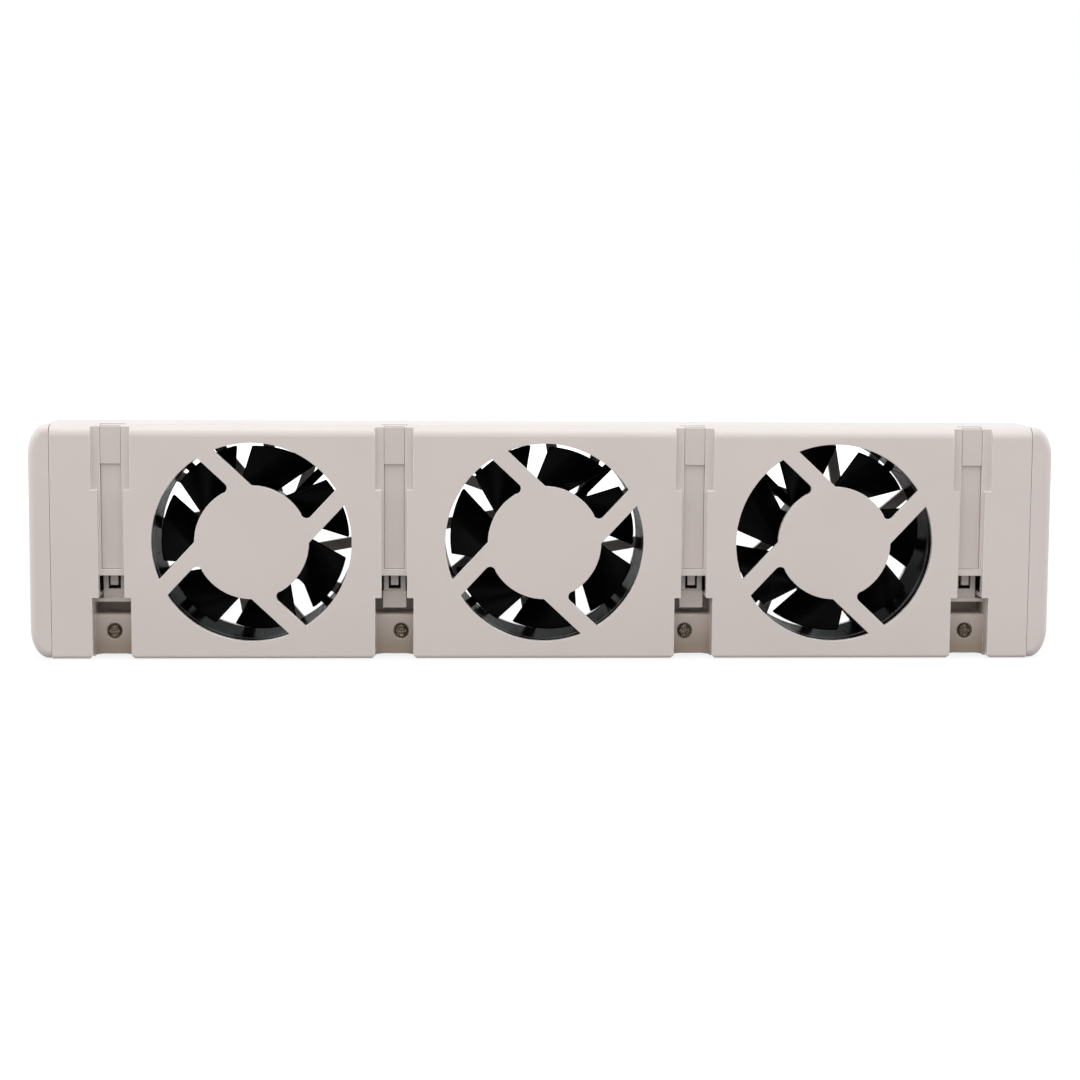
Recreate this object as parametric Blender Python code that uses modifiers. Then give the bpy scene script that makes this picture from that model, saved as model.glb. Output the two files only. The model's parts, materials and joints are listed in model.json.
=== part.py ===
"""Slim fan bar for a radiator: three axial fans in one moulded box with four sliding magnet arms.

Sizes are in metres. X runs along the bar, Z is up, and the face with the magnet arms looks toward -Y.
The bar stands on its long lower side, with the origin in the middle of that side.
"""

import math

import bmesh
import bpy
from mathutils import Matrix

# The fans, which set the bar's height, depth and length, and the room between and beside them
FAN_COUNT = 3
FAN_SIZE = 0.060
FAN_DEPTH = 0.0244
FAN_SPACING = 0.02375
OUTER_CHANNEL_ROOM = 0.00985
INNER_CHANNEL_SHIFT = 0.001225
END_BAY = 0.0172

# Housing
END_CAP_LENGTH = 0.0062
REAR_COVER_DEPTH = 0.004
WALL = 0.002
CAP_WALL = 0.0025
TOP_EDGE_RADIUS = 0.0035
LOWER_EDGE_RADIUS = 0.0006
REAR_EDGE_RADIUS = 0.002
CAP_CORNER_ACROSS = 0.0052
CAP_CORNER_UP = 0.0085
CAP_EDGE_RADIUS = 0.0014
CAP_TAB_WIDTH = 0.014
CAP_TAB_REACH = 0.003
CAP_TAB_THICKNESS = 0.0015
CAP_TAB_SPACING = 0.032

# Clearance between pieces that touch, and between pieces that slide or turn
GAP = 0.0003

# Fan openings in the front face, with their pinwheel spokes
OPENING_INSET = 0.0001
FACE_HUB_RADIUS = 0.0163
SPOKE_COUNT = 4
SPOKE_ANGLE = math.radians(47)
SPOKE_OFFSET = 0.0072
SPOKE_WIDTH = 0.0048
SPOKE_CORNER_RADIUS = 0.0016

# Swirl grille in the rear face
GRILLE_BARS = 12
GRILLE_BAR_WIDTH = 0.0032
GRILLE_HUB_RADIUS = 0.0125
GRILLE_OFFSET = 0.006
GRILLE_ANGLE = math.radians(40)

# Fan frame, its seat ribs and its pins
FAN_CORNER_RADIUS = 0.003
FAN_HOLE_INSET = 0.005
FAN_HOLE_RADIUS = 0.00215
FLANGE_THICKNESS = 0.0035
DUCT_INSET = 0.0014
DUCT_WALL = 0.0011
MOTOR_BASE_RADIUS = 0.0135
MOTOR_BASE_THICKNESS = 0.002
STRUT_WIDTH = 0.0024
STRUT_THICKNESS = 0.0025
STRUT_COUNT = 4
BEARING_TUBE_WALL = 0.0008
SEAT_RIB_HEIGHT = 0.0015
SEAT_RIB_WIDTH = 0.0016
SEAT_RIB_SPACING = 0.040
PIN_LENGTH = 0.0055

# Rotor and motor
BLADE_COUNT = 7
TIP_CLEARANCE = 0.0016
HUB_RADIUS = 0.0145
HUB_WALL = 0.0013
HUB_FACE_THICKNESS = 0.0015
HUB_EDGE_RADIUS = 0.001
HUB_FRONT_SETBACK = 0.0075
HUB_REAR_ROOM = 0.0014
BLADE_THICKNESS = 0.0012
BLADE_SPAN = math.radians(40)
BLADE_SWEEP = math.radians(18)
BLADE_LENGTH = 0.0115
BLADE_SETBACK = 0.0095
BLADE_CAMBER = 0.0012
BLADE_TIP_NARROWING = 0.2
ROTOR_TURNS = (math.radians(2.7), math.radians(-1.9), math.radians(34.8))
BOSS_RADIUS = 0.0026
BOSS_LENGTH = 0.0031
SHAFT_RADIUS = 0.001
BEARING_WALL = 0.0012
RING_MAGNET_WALL = 0.0013
RING_MAGNET_SETBACK = 0.0025
AIR_GAP = 0.0006
COIL_TO_BOARD = 0.0012
POLE_COUNT = 4
POLE_NECK_WIDTH = 0.0036
POLE_SHOE_THICKNESS = 0.0016
POLE_SHOE_HALF_ANGLE = math.radians(36)
COIL_THICKNESS = 0.0011
FAN_BOARD_THICKNESS = 0.001
FAN_BOARD_WIDTH = 0.0066

# Channels for the magnet arms, with the screw shelf and the pocket at their lower end
RECESS_DEPTH = 0.0018
RECESS_WIDTH = 0.011
RECESS_HEIGHT = 0.0185
CHANNEL_WIDTH = 0.0073
CHANNEL_FLOOR = 0.0014
CHANNEL_SIDE_WALL = 0.0012
CROSS_BAR_LOWER = 0.0238
CROSS_BAR_HEIGHT = 0.0019
POCKET_FLOOR = 0.0122
POCKET_HEIGHT = 0.0053
POCKET_DEPTH = 0.0145
SHELF_DEPTH = 0.0055
SHELF_THICKNESS = 0.002
SHELF_EDGE_RADIUS = 0.001
SHELF_SCOOP = 0.0008
LOWER_CORNER_CHAMFER = 0.0009
PLATE_DEPTH = 0.0069
PLATE_WIDTH = 0.0064
PLATE_THICKNESS = 0.0018
PLATE_STANDING = 0.0015
LATCH_SLOT_WIDTH = 0.0035
LATCH_SLOT_LOWER = 0.0194
LATCH_WIDTH = 0.0022
LATCH_LOWER = 0.0205
LATCH_STANDING = 0.0006
TONGUE_WIDTH = 0.0068
TONGUE_LOWER = 0.0142
TONGUE_UPPER = 0.0189
LIP_LOWER = 0.0159
LIP_HEIGHT = 0.0008
GUIDE_WALL = 0.0013

# Magnet arms
ARM_WIDTH = 0.0053
ARM_FLANGE_WIDTH = 0.0068
ARM_FLANGE_THICKNESS = 0.0014
ARM_HEAD_HEIGHT = 0.0105
ARM_HEAD_DEPTH = 0.0071
ARM_HEAD_DROP = 0.0006
ARM_TROUGH = 0.0008
ARM_GROOVE = 0.0006
MAGNET_WIDTH = 0.004
MAGNET_THICKNESS = 0.0032
MAGNET_HEIGHT = 0.0072

# Cover screws and the posts that take them
SCREW_HEIGHT = 0.0073
INNER_SCREW_SHIFT = 0.0019
SCREW_HEAD_RADIUS = 0.00195
SCREW_HEAD_HEIGHT = 0.0013
SCREW_HEAD_TAPER = 0.0004
SCREW_SHANK_RADIUS = 0.0012
SCREW_LENGTH = 0.010
SCREW_TIP_ROOM = 0.001
SCREW_SINK_RADIUS = 0.00235
SCREW_SINK_DEPTH = 0.001
CROSS_RECESS_WIDTH = 0.0022
CROSS_RECESS_SLOT = 0.0006
CROSS_RECESS_DEPTH = 0.0007
POST_RADIUS = 0.0026

# Sockets, boards and leads
SOCKET_BODY_WIDTH = 0.009
SOCKET_BODY_HEIGHT = 0.011
SOCKET_BARREL_RADIUS = 0.0039
SOCKET_BORE_RADIUS = 0.0029
SOCKET_BORE_DEPTH = 0.010
SOCKET_PIN_RADIUS = 0.0009
BOARD_THICKNESS = 0.0012
BOARD_DEPTH = 0.020
BOARD_HEIGHT = 0.048
CHIP_SIZE = 0.006
CHIP_THICKNESS = 0.0012
CHIP_PLACE = (0.001, 0.0107)
CAPACITOR_RADIUS = 0.0025
CAPACITOR_LENGTH = 0.005
CAPACITOR_PLACE = (-0.005, 0.0432)
LEAD_RADIUS = 0.00045
LEAD_SPACING = 0.0025
LEAD_BEND = 0.004
LEAD_DROP = 0.0064
LEAD_ANGLE = math.radians(222)

# Fineness of round shapes
ROUND_STEPS = 32
MIDDLE_STEPS = 16
SMALL_STEPS = 12
TINY_STEPS = 8

# Planes and places that follow from the sizes
BODY_DEPTH = FAN_DEPTH + 2 * (WALL + GAP)
BODY_HEIGHT = FAN_SIZE + 2 * (WALL + SEAT_RIB_HEIGHT)
FAN_PITCH = FAN_SIZE + FAN_SPACING
OUTER_FAN_X = (FAN_COUNT - 1) / 2 * FAN_PITCH
OUTER_CHANNEL_X = OUTER_FAN_X + FAN_SIZE / 2 + OUTER_CHANNEL_ROOM
SEAM_X = OUTER_CHANNEL_X + END_BAY
BODY_LENGTH = 2 * (SEAM_X + END_CAP_LENGTH)
FRONT = -BODY_DEPTH / 2
REAR = BODY_DEPTH / 2
COVER_END = SEAM_X - GAP / 2
CAP_START = SEAM_X + GAP / 2
REAR_SEAM = REAR - REAR_COVER_DEPTH
FACE_INSIDE = FRONT + WALL
BACK_INSIDE = REAR - WALL
FAN_Z = BODY_HEIGHT / 2
FAN_FRONT = FACE_INSIDE + GAP
FAN_REAR = BACK_INSIDE - GAP
FAN_XS = [n * FAN_PITCH - OUTER_FAN_X for n in range(FAN_COUNT)]
BETWEEN_FANS = [(left + right) / 2 for left, right in zip(FAN_XS, FAN_XS[1:])]
INNER_CHANNEL_XS = [middle + math.copysign(INNER_CHANNEL_SHIFT, middle) for middle in BETWEEN_FANS]
CHANNEL_XS = [-OUTER_CHANNEL_X, *INNER_CHANNEL_XS, OUTER_CHANNEL_X]
DUCT_RADIUS = FAN_SIZE / 2 - DUCT_INSET
OPENING_RADIUS = DUCT_RADIUS - OPENING_INSET
ROTOR_RADIUS = DUCT_RADIUS - TIP_CLEARANCE
FAN_HOLE_REACH = FAN_SIZE / 2 - FAN_HOLE_INSET
RECESS_FLOOR = FRONT + RECESS_DEPTH
CHANNEL_BACK = RECESS_FLOOR + CHANNEL_FLOOR
CROSS_BAR_UPPER = CROSS_BAR_LOWER + CROSS_BAR_HEIGHT
POCKET_CEILING = POCKET_FLOOR + POCKET_HEIGHT
SHELF_FACE = FRONT + SHELF_DEPTH
SHELF_BACK = SHELF_FACE + SHELF_THICKNESS
PLATE_FACE = FRONT + PLATE_DEPTH
PLATE_BACK = PLATE_FACE + PLATE_THICKNESS
ARM_SLOT_WIDTH = ARM_WIDTH + 2 * GAP
ARM_GUIDE_WIDTH = ARM_FLANGE_WIDTH + 2 * GAP
FLANGE_FRONT = CHANNEL_BACK + GAP
FLANGE_BACK = FLANGE_FRONT + ARM_FLANGE_THICKNESS
HEAD_BACK = RECESS_FLOOR + ARM_HEAD_DEPTH
HEAD_LOWER = BODY_HEIGHT - ARM_HEAD_DROP - ARM_HEAD_HEIGHT
HUB_FRONT = FRONT + HUB_FRONT_SETBACK
MOTOR_BASE_FACE = FAN_REAR - MOTOR_BASE_THICKNESS
HUB_REAR = MOTOR_BASE_FACE - HUB_REAR_ROOM
SHAFT_HOLE = SHAFT_RADIUS + GAP
BEARING_RADIUS = SHAFT_HOLE + BEARING_WALL
BEARING_TUBE_HOLE = BEARING_RADIUS + GAP
BEARING_TUBE_RADIUS = BEARING_TUBE_HOLE + BEARING_TUBE_WALL
BOSS_END = HUB_FRONT + HUB_FACE_THICKNESS + BOSS_LENGTH
BEARING_TUBE_FRONT = BOSS_END + GAP
RING_OUTER = HUB_RADIUS - HUB_WALL - GAP
RING_INNER = RING_OUTER - RING_MAGNET_WALL
RING_FRONT = HUB_FRONT + HUB_FACE_THICKNESS + GAP
RING_REAR = HUB_REAR - RING_MAGNET_SETBACK
CORE_RADIUS = RING_INNER - AIR_GAP
CORE_BORE = BEARING_TUBE_RADIUS + GAP
FAN_BOARD_REAR = MOTOR_BASE_FACE - GAP
FAN_BOARD_FRONT = FAN_BOARD_REAR - FAN_BOARD_THICKNESS
COIL_REAR = FAN_BOARD_FRONT - COIL_TO_BOARD
CORE_MIDDLE = (BEARING_TUBE_FRONT + COIL_REAR) / 2
COIL_HALF = (COIL_REAR - BEARING_TUBE_FRONT) / 2
CORE_HALF = COIL_HALF - COIL_THICKNESS - GAP
POST_END = SHELF_BACK + GAP
SCREW_SEAT = SHELF_FACE + SCREW_SINK_DEPTH - GAP
SCREW_TIP = SCREW_SEAT + SCREW_LENGTH
LEAD_Z = WALL + GAP + LEAD_RADIUS
CHANNEL_OUTSIDE = RECESS_WIDTH / 2 + CHANNEL_SIDE_WALL
BOARD_X = OUTER_CHANNEL_X + CHANNEL_OUTSIDE + 2 * GAP
BOARD_FACE = BOARD_X + BOARD_THICKNESS
BOARD_FOOT = WALL + GAP


for old in list(bpy.data.objects):
    bpy.data.objects.remove(old, do_unlink=True)

parts = bpy.data.collections.new("radiator_fan_bar")
cutters = bpy.data.collections.new("cutters")
bpy.context.scene.collection.children.link(parts)
bpy.context.scene.collection.children.link(cutters)


def material(name, colour, roughness, metallic=0.0):
    """A Principled material in one colour."""
    made = bpy.data.materials.new(name)
    made.use_nodes = True
    shader = made.node_tree.nodes["Principled BSDF"]
    shader.inputs["Base Color"].default_value = (*colour, 1.0)
    shader.inputs["Roughness"].default_value = roughness
    shader.inputs["Metallic"].default_value = metallic
    made.diffuse_color = (*colour, 1.0)
    return made


OFF_WHITE = material("off_white_plastic", (0.56, 0.51, 0.47), 0.45)
ARM_WHITE = material("arm_plastic", (0.54, 0.49, 0.45), 0.42)
FAN_BLACK = material("fan_black_plastic", (0.012, 0.012, 0.013), 0.22)
SOCKET_BLACK = material("socket_black_plastic", (0.02, 0.02, 0.02), 0.4)
SCREW_METAL = material("screw_metal", (0.34, 0.30, 0.25), 0.35, 1.0)
MAGNET_METAL = material("magnet_nickel", (0.62, 0.60, 0.57), 0.25, 1.0)
SHAFT_STEEL = material("shaft_steel", (0.60, 0.60, 0.61), 0.3, 1.0)
BRONZE = material("bearing_bronze", (0.55, 0.36, 0.18), 0.4, 1.0)
FERRITE = material("ring_ferrite", (0.06, 0.055, 0.055), 0.7)
CORE_STEEL = material("core_steel", (0.35, 0.35, 0.36), 0.45, 1.0)
COPPER = material("copper_wire", (0.72, 0.33, 0.16), 0.35, 1.0)
BOARD_GREEN = material("board_laminate", (0.02, 0.16, 0.07), 0.45)
LEAD_BLACK = material("lead_sleeve", (0.03, 0.03, 0.03), 0.5)


def placed(name, mesh, home=parts, finish=None, location=(0, 0, 0), turn=(0, 0, 0)):
    """An object of this mesh in one of the collections; a cutter shows as wire and stays out of the part."""
    made = bpy.data.objects.new(name, mesh)
    home.objects.link(made)
    made.location = location
    made.rotation_euler = turn
    if home is cutters:
        made.hide_render = True
        made.display_type = "WIRE"
    if finish and not mesh.materials:
        mesh.materials.append(finish)
    return made


def mesh_from(name, build):
    """A mesh filled by build, which is given an empty bmesh."""
    shape = bmesh.new()
    build(shape)
    mesh = bpy.data.meshes.new(name)
    shape.to_mesh(mesh)
    shape.free()
    return mesh


def box(name, x, y, z, home=cutters, finish=None, location=(0, 0, 0)):
    """A block between the low and high values in x, y and z."""

    def build(shape):
        size = [high - low for low, high in (x, y, z)]
        middle = [(high + low) / 2 for low, high in (x, y, z)]
        matrix = Matrix.Translation(middle) @ Matrix.Diagonal((*size, 1.0))
        bmesh.ops.create_cube(shape, size=1.0, matrix=matrix)

    return placed(name, mesh_from(name, build), home, finish, location)


def rod(name, radius, ends, axis="Y", at=(0, 0), home=cutters, steps=SMALL_STEPS, finish=None):
    """A cylinder between two ends along Y or X; at is (x, z) along Y and (y, z) along X."""
    low, high = ends
    middle = (low + high) / 2
    if axis == "Y":
        matrix = Matrix.Translation((at[0], middle, at[1])) @ Matrix.Rotation(math.pi / 2, 4, "X")
    else:
        matrix = Matrix.Translation((middle, at[0], at[1])) @ Matrix.Rotation(math.pi / 2, 4, "Y")

    def build(shape):
        bmesh.ops.create_cone(shape, cap_ends=True, segments=steps, radius1=radius, radius2=radius,
                              depth=high - low, matrix=matrix)

    return placed(name, mesh_from(name, build), home, finish)


def drawn(name, outlines, low, high, along="Y", home=cutters, finish=None, location=(0, 0, 0)):
    """Flat outlines, filled with their holes open and drawn out from low to high.

    Along Y the outlines are in (x, z). Along X they are in (y, z).
    """
    curve = bpy.data.curves.new(name, "CURVE")
    curve.dimensions = "2D"
    curve.fill_mode = "BOTH"
    curve.extrude = (high - low) / 2
    for outline in outlines:
        spline = curve.splines.new("POLY")
        spline.points.add(len(outline) - 1)
        for point, (across, up) in zip(spline.points, outline):
            point.co = (across, up, 0, 1)
        spline.use_cyclic_u = True
    middle = (low + high) / 2
    if along == "Y":
        frame = Matrix(((1, 0, 0, 0), (0, 0, -1, middle), (0, 1, 0, 0), (0, 0, 0, 1)))
    else:
        frame = Matrix(((0, 0, 1, middle), (1, 0, 0, 0), (0, 1, 0, 0), (0, 0, 0, 1)))
    return placed(name, mesh_of_curve(curve, name, frame), home, finish, location)


def mesh_of_curve(curve, name, frame):
    """The closed mesh of a curve, with the caps joined to the sides."""
    holder = bpy.data.objects.new(name + "_curve", curve)
    bpy.context.scene.collection.objects.link(holder)
    holder.matrix_world = frame
    bpy.context.view_layer.update()
    depsgraph = bpy.context.evaluated_depsgraph_get()
    mesh = bpy.data.meshes.new_from_object(holder.evaluated_get(depsgraph))
    mesh.name = name
    mesh.transform(holder.matrix_world)
    shape = bmesh.new()
    shape.from_mesh(mesh)
    bmesh.ops.remove_doubles(shape, verts=shape.verts, dist=1e-6)
    bmesh.ops.recalc_face_normals(shape, faces=shape.faces)
    shape.to_mesh(mesh)
    shape.free()
    bpy.data.objects.remove(holder, do_unlink=True)
    return mesh


def turned(name, profile, ring=False, home=parts, finish=None, location=(0, 0, 0), steps=ROUND_STEPS):
    """A solid turned about Y. The profile is in (radius, y), its outer side from rear to front.

    A ring's profile is closed; any other starts and ends on the axis.
    """

    def build(shape):
        points = [shape.verts.new((radius, along, 0)) for radius, along in profile]
        for first, second in zip(points, points[1:]):
            shape.edges.new((first, second))
        if ring:
            shape.edges.new((points[-1], points[0]))

    made = placed(name, mesh_from(name, build), home, finish, location)
    screw = made.modifiers.new("turned", "SCREW")
    screw.axis = "Y"
    screw.steps = steps
    screw.render_steps = steps
    screw.use_merge_vertices = True
    screw.merge_threshold = 0.000001
    screw.use_smooth_shade = False
    return made


def boolean(target, tool, operation):
    """One Boolean step on the target."""
    step = target.modifiers.new(tool.name, "BOOLEAN")
    step.object = tool
    step.operation = operation
    step.solver = "EXACT"
    if tool.name not in cutters.objects:
        cutters.objects.link(tool)
        parts.objects.unlink(tool)
    tool.hide_render = True
    tool.display_type = "WIRE"


def add(target, *tools):
    """Tools joined onto the target."""
    for tool in tools:
        boolean(target, tool, "UNION")


def cut(target, *tools):
    """Tools taken away from the target."""
    for tool in tools:
        boolean(target, tool, "DIFFERENCE")


def finished(source, name):
    """The mesh of an object with its modifiers applied, to share between copies."""
    bpy.context.view_layer.update()
    depsgraph = bpy.context.evaluated_depsgraph_get()
    mesh = bpy.data.meshes.new_from_object(source.evaluated_get(depsgraph))
    mesh.name = name
    bpy.data.objects.remove(source, do_unlink=True)
    return mesh


def smooth(made, degrees=35):
    """Round faces shaded smooth, with sharp corners kept."""
    made.data.shade_smooth()
    made.data.set_sharp_from_angle(angle=math.radians(degrees))


def spread(centre, half):
    """Low and high values on both sides of a centre."""
    return (centre - half, centre + half)


def on_circle(radius, angle, centre=(0, 0)):
    """The point at this angle, counted from +X toward +Z."""
    return (centre[0] + radius * math.cos(angle), centre[1] + radius * math.sin(angle))


def arc(radius, start, end, steps, centre=(0, 0), up=None):
    """Points along an arc; up gives an ellipse its second radius."""
    tall = radius if up is None else up
    points = []
    for k in range(steps + 1):
        angle = start + (end - start) * k / steps
        points.append((centre[0] + radius * math.cos(angle), centre[1] + tall * math.sin(angle)))
    return points


def circle(radius, steps, centre=(0, 0)):
    """A closed round outline."""
    return [on_circle(radius, math.tau * k / steps, centre) for k in range(steps)]


def rounded_rectangle(low, high, radii, steps=4):
    """An outline from corner low to corner high.

    The radii are for the corners lower left, lower right, upper right and upper left. A pair gives an
    elliptical corner, and 0 a sharp one.
    """
    corners = ((low[0], low[1], 1, 1, 180), (high[0], low[1], -1, 1, 270),
               (high[0], high[1], -1, -1, 0), (low[0], high[1], 1, -1, 90))
    points = []
    for (across, up, inward, upward, start), radius in zip(corners, radii):
        if not radius:
            points.append((across, up))
            continue
        wide, tall = radius if isinstance(radius, tuple) else (radius, radius)
        centre = (across + inward * wide, up + upward * tall)
        points += arc(wide, math.radians(start), math.radians(start + 90), steps, centre, tall)
    return points


def filleted_corner(before, corner, after, radius, steps=3):
    """Points of an arc of this radius in the corner between two straight sides."""
    first = (before[0] - corner[0], before[1] - corner[1])
    second = (after[0] - corner[0], after[1] - corner[1])
    first_length = math.hypot(*first)
    second_length = math.hypot(*second)
    first = (first[0] / first_length, first[1] / first_length)
    second = (second[0] / second_length, second[1] / second_length)
    half = math.acos(first[0] * second[0] + first[1] * second[1]) / 2
    middle = (first[0] + second[0], first[1] + second[1])
    length = math.hypot(*middle)
    reach = radius / math.sin(half)
    centre = (corner[0] + middle[0] / length * reach, corner[1] + middle[1] / length * reach)
    touch = radius / math.tan(half)
    start = (corner[0] + first[0] * touch, corner[1] + first[1] * touch)
    end = (corner[0] + second[0] * touch, corner[1] + second[1] * touch)
    from_angle = math.atan2(start[1] - centre[1], start[0] - centre[0])
    to_angle = math.atan2(end[1] - centre[1], end[0] - centre[0])
    sweep = (to_angle - from_angle + math.pi) % math.tau - math.pi
    return arc(radius, from_angle, from_angle + sweep, steps, centre)


def swirl_opening(centre, turn, inner, outer, near, far, step, corner=0.0, fineness=(7, 4)):
    """One opening between two tangential bars of a pinwheel.

    The bars lean so that their centre lines pass beside the centre; near and far are the distances of
    the opening's two straight sides from lines through the centre.
    """
    outer_points = arc(outer, turn - math.asin(near / outer), turn + step - math.asin(far / outer),
                       fineness[0], centre)
    inner_points = arc(inner, turn + step - math.asin(far / inner), turn - math.asin(near / inner),
                       fineness[1], centre)
    if corner:
        rounded = filleted_corner(inner_points[-2], inner_points[-1], outer_points[0], corner)
        inner_points = inner_points[:-1] + rounded
    return outer_points + inner_points


def face_openings(centre):
    """The pinwheel openings in front of one fan."""
    step = math.tau / SPOKE_COUNT
    return [swirl_opening(centre, SPOKE_ANGLE + k * step, FACE_HUB_RADIUS, OPENING_RADIUS, SPOKE_OFFSET,
                          SPOKE_OFFSET + SPOKE_WIDTH, step, SPOKE_CORNER_RADIUS) for k in range(SPOKE_COUNT)]


def grille_openings(centre):
    """The openings between the swirl bars behind one fan."""
    step = math.tau / GRILLE_BARS
    far = GRILLE_OFFSET + GRILLE_BAR_WIDTH
    return [swirl_opening(centre, GRILLE_ANGLE + k * step, GRILLE_HUB_RADIUS, OPENING_RADIUS, GRILLE_OFFSET,
                          far, step, fineness=(3, 1)) for k in range(GRILLE_BARS)]


def screw_x(channel_x):
    """The screw of an inner channel stands toward the middle of the bar."""
    if abs(channel_x) == OUTER_CHANNEL_X:
        return channel_x
    return channel_x - math.copysign(INNER_SCREW_SHIFT, channel_x)


def lower_corner(name, corner, inward):
    """A cutter that takes a slanting corner off the wall beside a screw shelf."""
    leg = LOWER_CORNER_CHAMFER
    open_side = corner + inward * leg
    outline = [(corner - inward * 2 * leg, -leg), (open_side, -leg), (open_side, 2 * leg)]
    return drawn(name, [outline], FRONT - WALL, SHELF_FACE - GAP)


def channel_blocks(cover, x, name):
    """Material behind one channel: its floor, the arm's guide and the pocket's walls."""
    inside = BODY_HEIGHT - WALL / 2
    embed = FACE_INSIDE - WALL / 2
    guide_side = ARM_GUIDE_WIDTH / 2 + GUIDE_WALL
    guide_back = FLANGE_BACK + GAP + GUIDE_WALL
    head_back = HEAD_BACK + GAP + GUIDE_WALL
    channel = spread(x, CHANNEL_OUTSIDE)
    guide = spread(x, guide_side)
    add(cover,
        box(name + "_floor", channel, (embed, CHANNEL_BACK), (WALL / 2, inside)),
        box(name + "_guide", guide, (embed, guide_back), (CROSS_BAR_LOWER + GAP, inside)),
        box(name + "_head_guide", guide, (embed, head_back), (HEAD_LOWER - GUIDE_WALL, inside)),
        box(name + "_shelf", channel, (embed, SHELF_BACK), (WALL / 2, POCKET_FLOOR)),
        box(name + "_pocket", channel, (embed, FRONT + POCKET_DEPTH + CHANNEL_SIDE_WALL),
            (POCKET_FLOOR - CHANNEL_SIDE_WALL, POCKET_CEILING + CHANNEL_SIDE_WALL)))


def channel_cuts(cover, x, name):
    """The recess, the arm's slot and guide, the pocket and the scooped shelf of one channel."""
    outside = FRONT - WALL
    above = BODY_HEIGHT + WALL
    below = -WALL
    recess = spread(x, RECESS_WIDTH / 2)
    shelf_round = arc(SHELF_EDGE_RADIUS, math.pi, math.pi / 2, 4,
                      (SHELF_FACE + SHELF_EDGE_RADIUS, POCKET_FLOOR - SHELF_EDGE_RADIUS))
    pocket_back = FRONT + POCKET_DEPTH
    side = [(outside, below), (SHELF_FACE, below), *shelf_round, (pocket_back, POCKET_FLOOR),
            (pocket_back, POCKET_CEILING), (outside, POCKET_CEILING)]
    scoop_radius = ((RECESS_WIDTH / 2) ** 2 + SHELF_SCOOP ** 2) / (2 * SHELF_SCOOP)
    cut(cover,
        box(name + "_recess", recess, (outside, RECESS_FLOOR), (BODY_HEIGHT - RECESS_HEIGHT, above)),
        box(name + "_run", spread(x, CHANNEL_WIDTH / 2), (outside, RECESS_FLOOR), (POCKET_FLOOR, above)),
        box(name + "_arm_slot", spread(x, ARM_SLOT_WIDTH / 2), (outside, CHANNEL_BACK + GAP / 2),
            (CROSS_BAR_UPPER, above)),
        box(name + "_arm_guide", spread(x, ARM_GUIDE_WIDTH / 2), (CHANNEL_BACK, FLANGE_BACK + GAP),
            (CROSS_BAR_UPPER, above)),
        box(name + "_head_room", spread(x, ARM_GUIDE_WIDTH / 2), (CHANNEL_BACK, HEAD_BACK + GAP),
            (HEAD_LOWER - GAP, above)),
        box(name + "_window", spread(x, CHANNEL_WIDTH / 2), (outside, PLATE_BACK - GAP / 2),
            (POCKET_CEILING - GAP, CROSS_BAR_LOWER)),
        drawn(name + "_shelf_cut", [side], *recess, along="X"),
        rod(name + "_scoop", scoop_radius, (SHELF_FACE - GAP, SHELF_BACK + WALL),
            at=(x, SHELF_SCOOP - scoop_radius), steps=2 * ROUND_STEPS),
        lower_corner(name + "_left_corner", recess[0], 1),
        lower_corner(name + "_right_corner", recess[1], -1))


def channel_plate(cover, x, name):
    """The plate with its latch at the foot of one channel: inner ones end in a tongue, outer in a lip."""
    outer = abs(x) == OUTER_CHANNEL_X
    lower = LIP_LOWER if outer else TONGUE_LOWER
    upper = CROSS_BAR_UPPER + GUIDE_WALL
    add(cover, box(name + "_plate", spread(x, PLATE_WIDTH / 2), (PLATE_FACE, PLATE_BACK), (lower, upper)))
    if outer:
        add(cover, box(name + "_lip", spread(x, RECESS_WIDTH / 2 + CHANNEL_SIDE_WALL / 2),
                       (PLATE_FACE - GAP, PLATE_BACK - GAP), (LIP_LOWER - GAP, LIP_LOWER + LIP_HEIGHT)))
    else:
        add(cover, box(name + "_tongue", spread(x, TONGUE_WIDTH / 2), (PLATE_FACE - GAP, PLATE_BACK - GAP),
                       (TONGUE_LOWER - GAP, TONGUE_UPPER)))
    cut(cover, box(name + "_latch_slot", spread(x, LATCH_SLOT_WIDTH / 2),
                   (PLATE_FACE - WALL, PLATE_BACK + PLATE_STANDING),
                   (LATCH_SLOT_LOWER, CROSS_BAR_LOWER + GAP)))
    add(cover, box(name + "_latch", spread(x, LATCH_WIDTH / 2),
                   (PLATE_FACE - LATCH_STANDING, PLATE_BACK - GAP), (LATCH_LOWER, CROSS_BAR_UPPER)))
    cut(cover,
        rod(name + "_screw_sink", SCREW_SINK_RADIUS, (SHELF_FACE - WALL, SHELF_FACE + SCREW_SINK_DEPTH),
            at=(screw_x(x), SCREW_HEIGHT)),
        rod(name + "_screw_hole", SCREW_SHANK_RADIUS + GAP, (SHELF_FACE, SHELF_BACK + WALL),
            at=(screw_x(x), SCREW_HEIGHT)))


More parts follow.
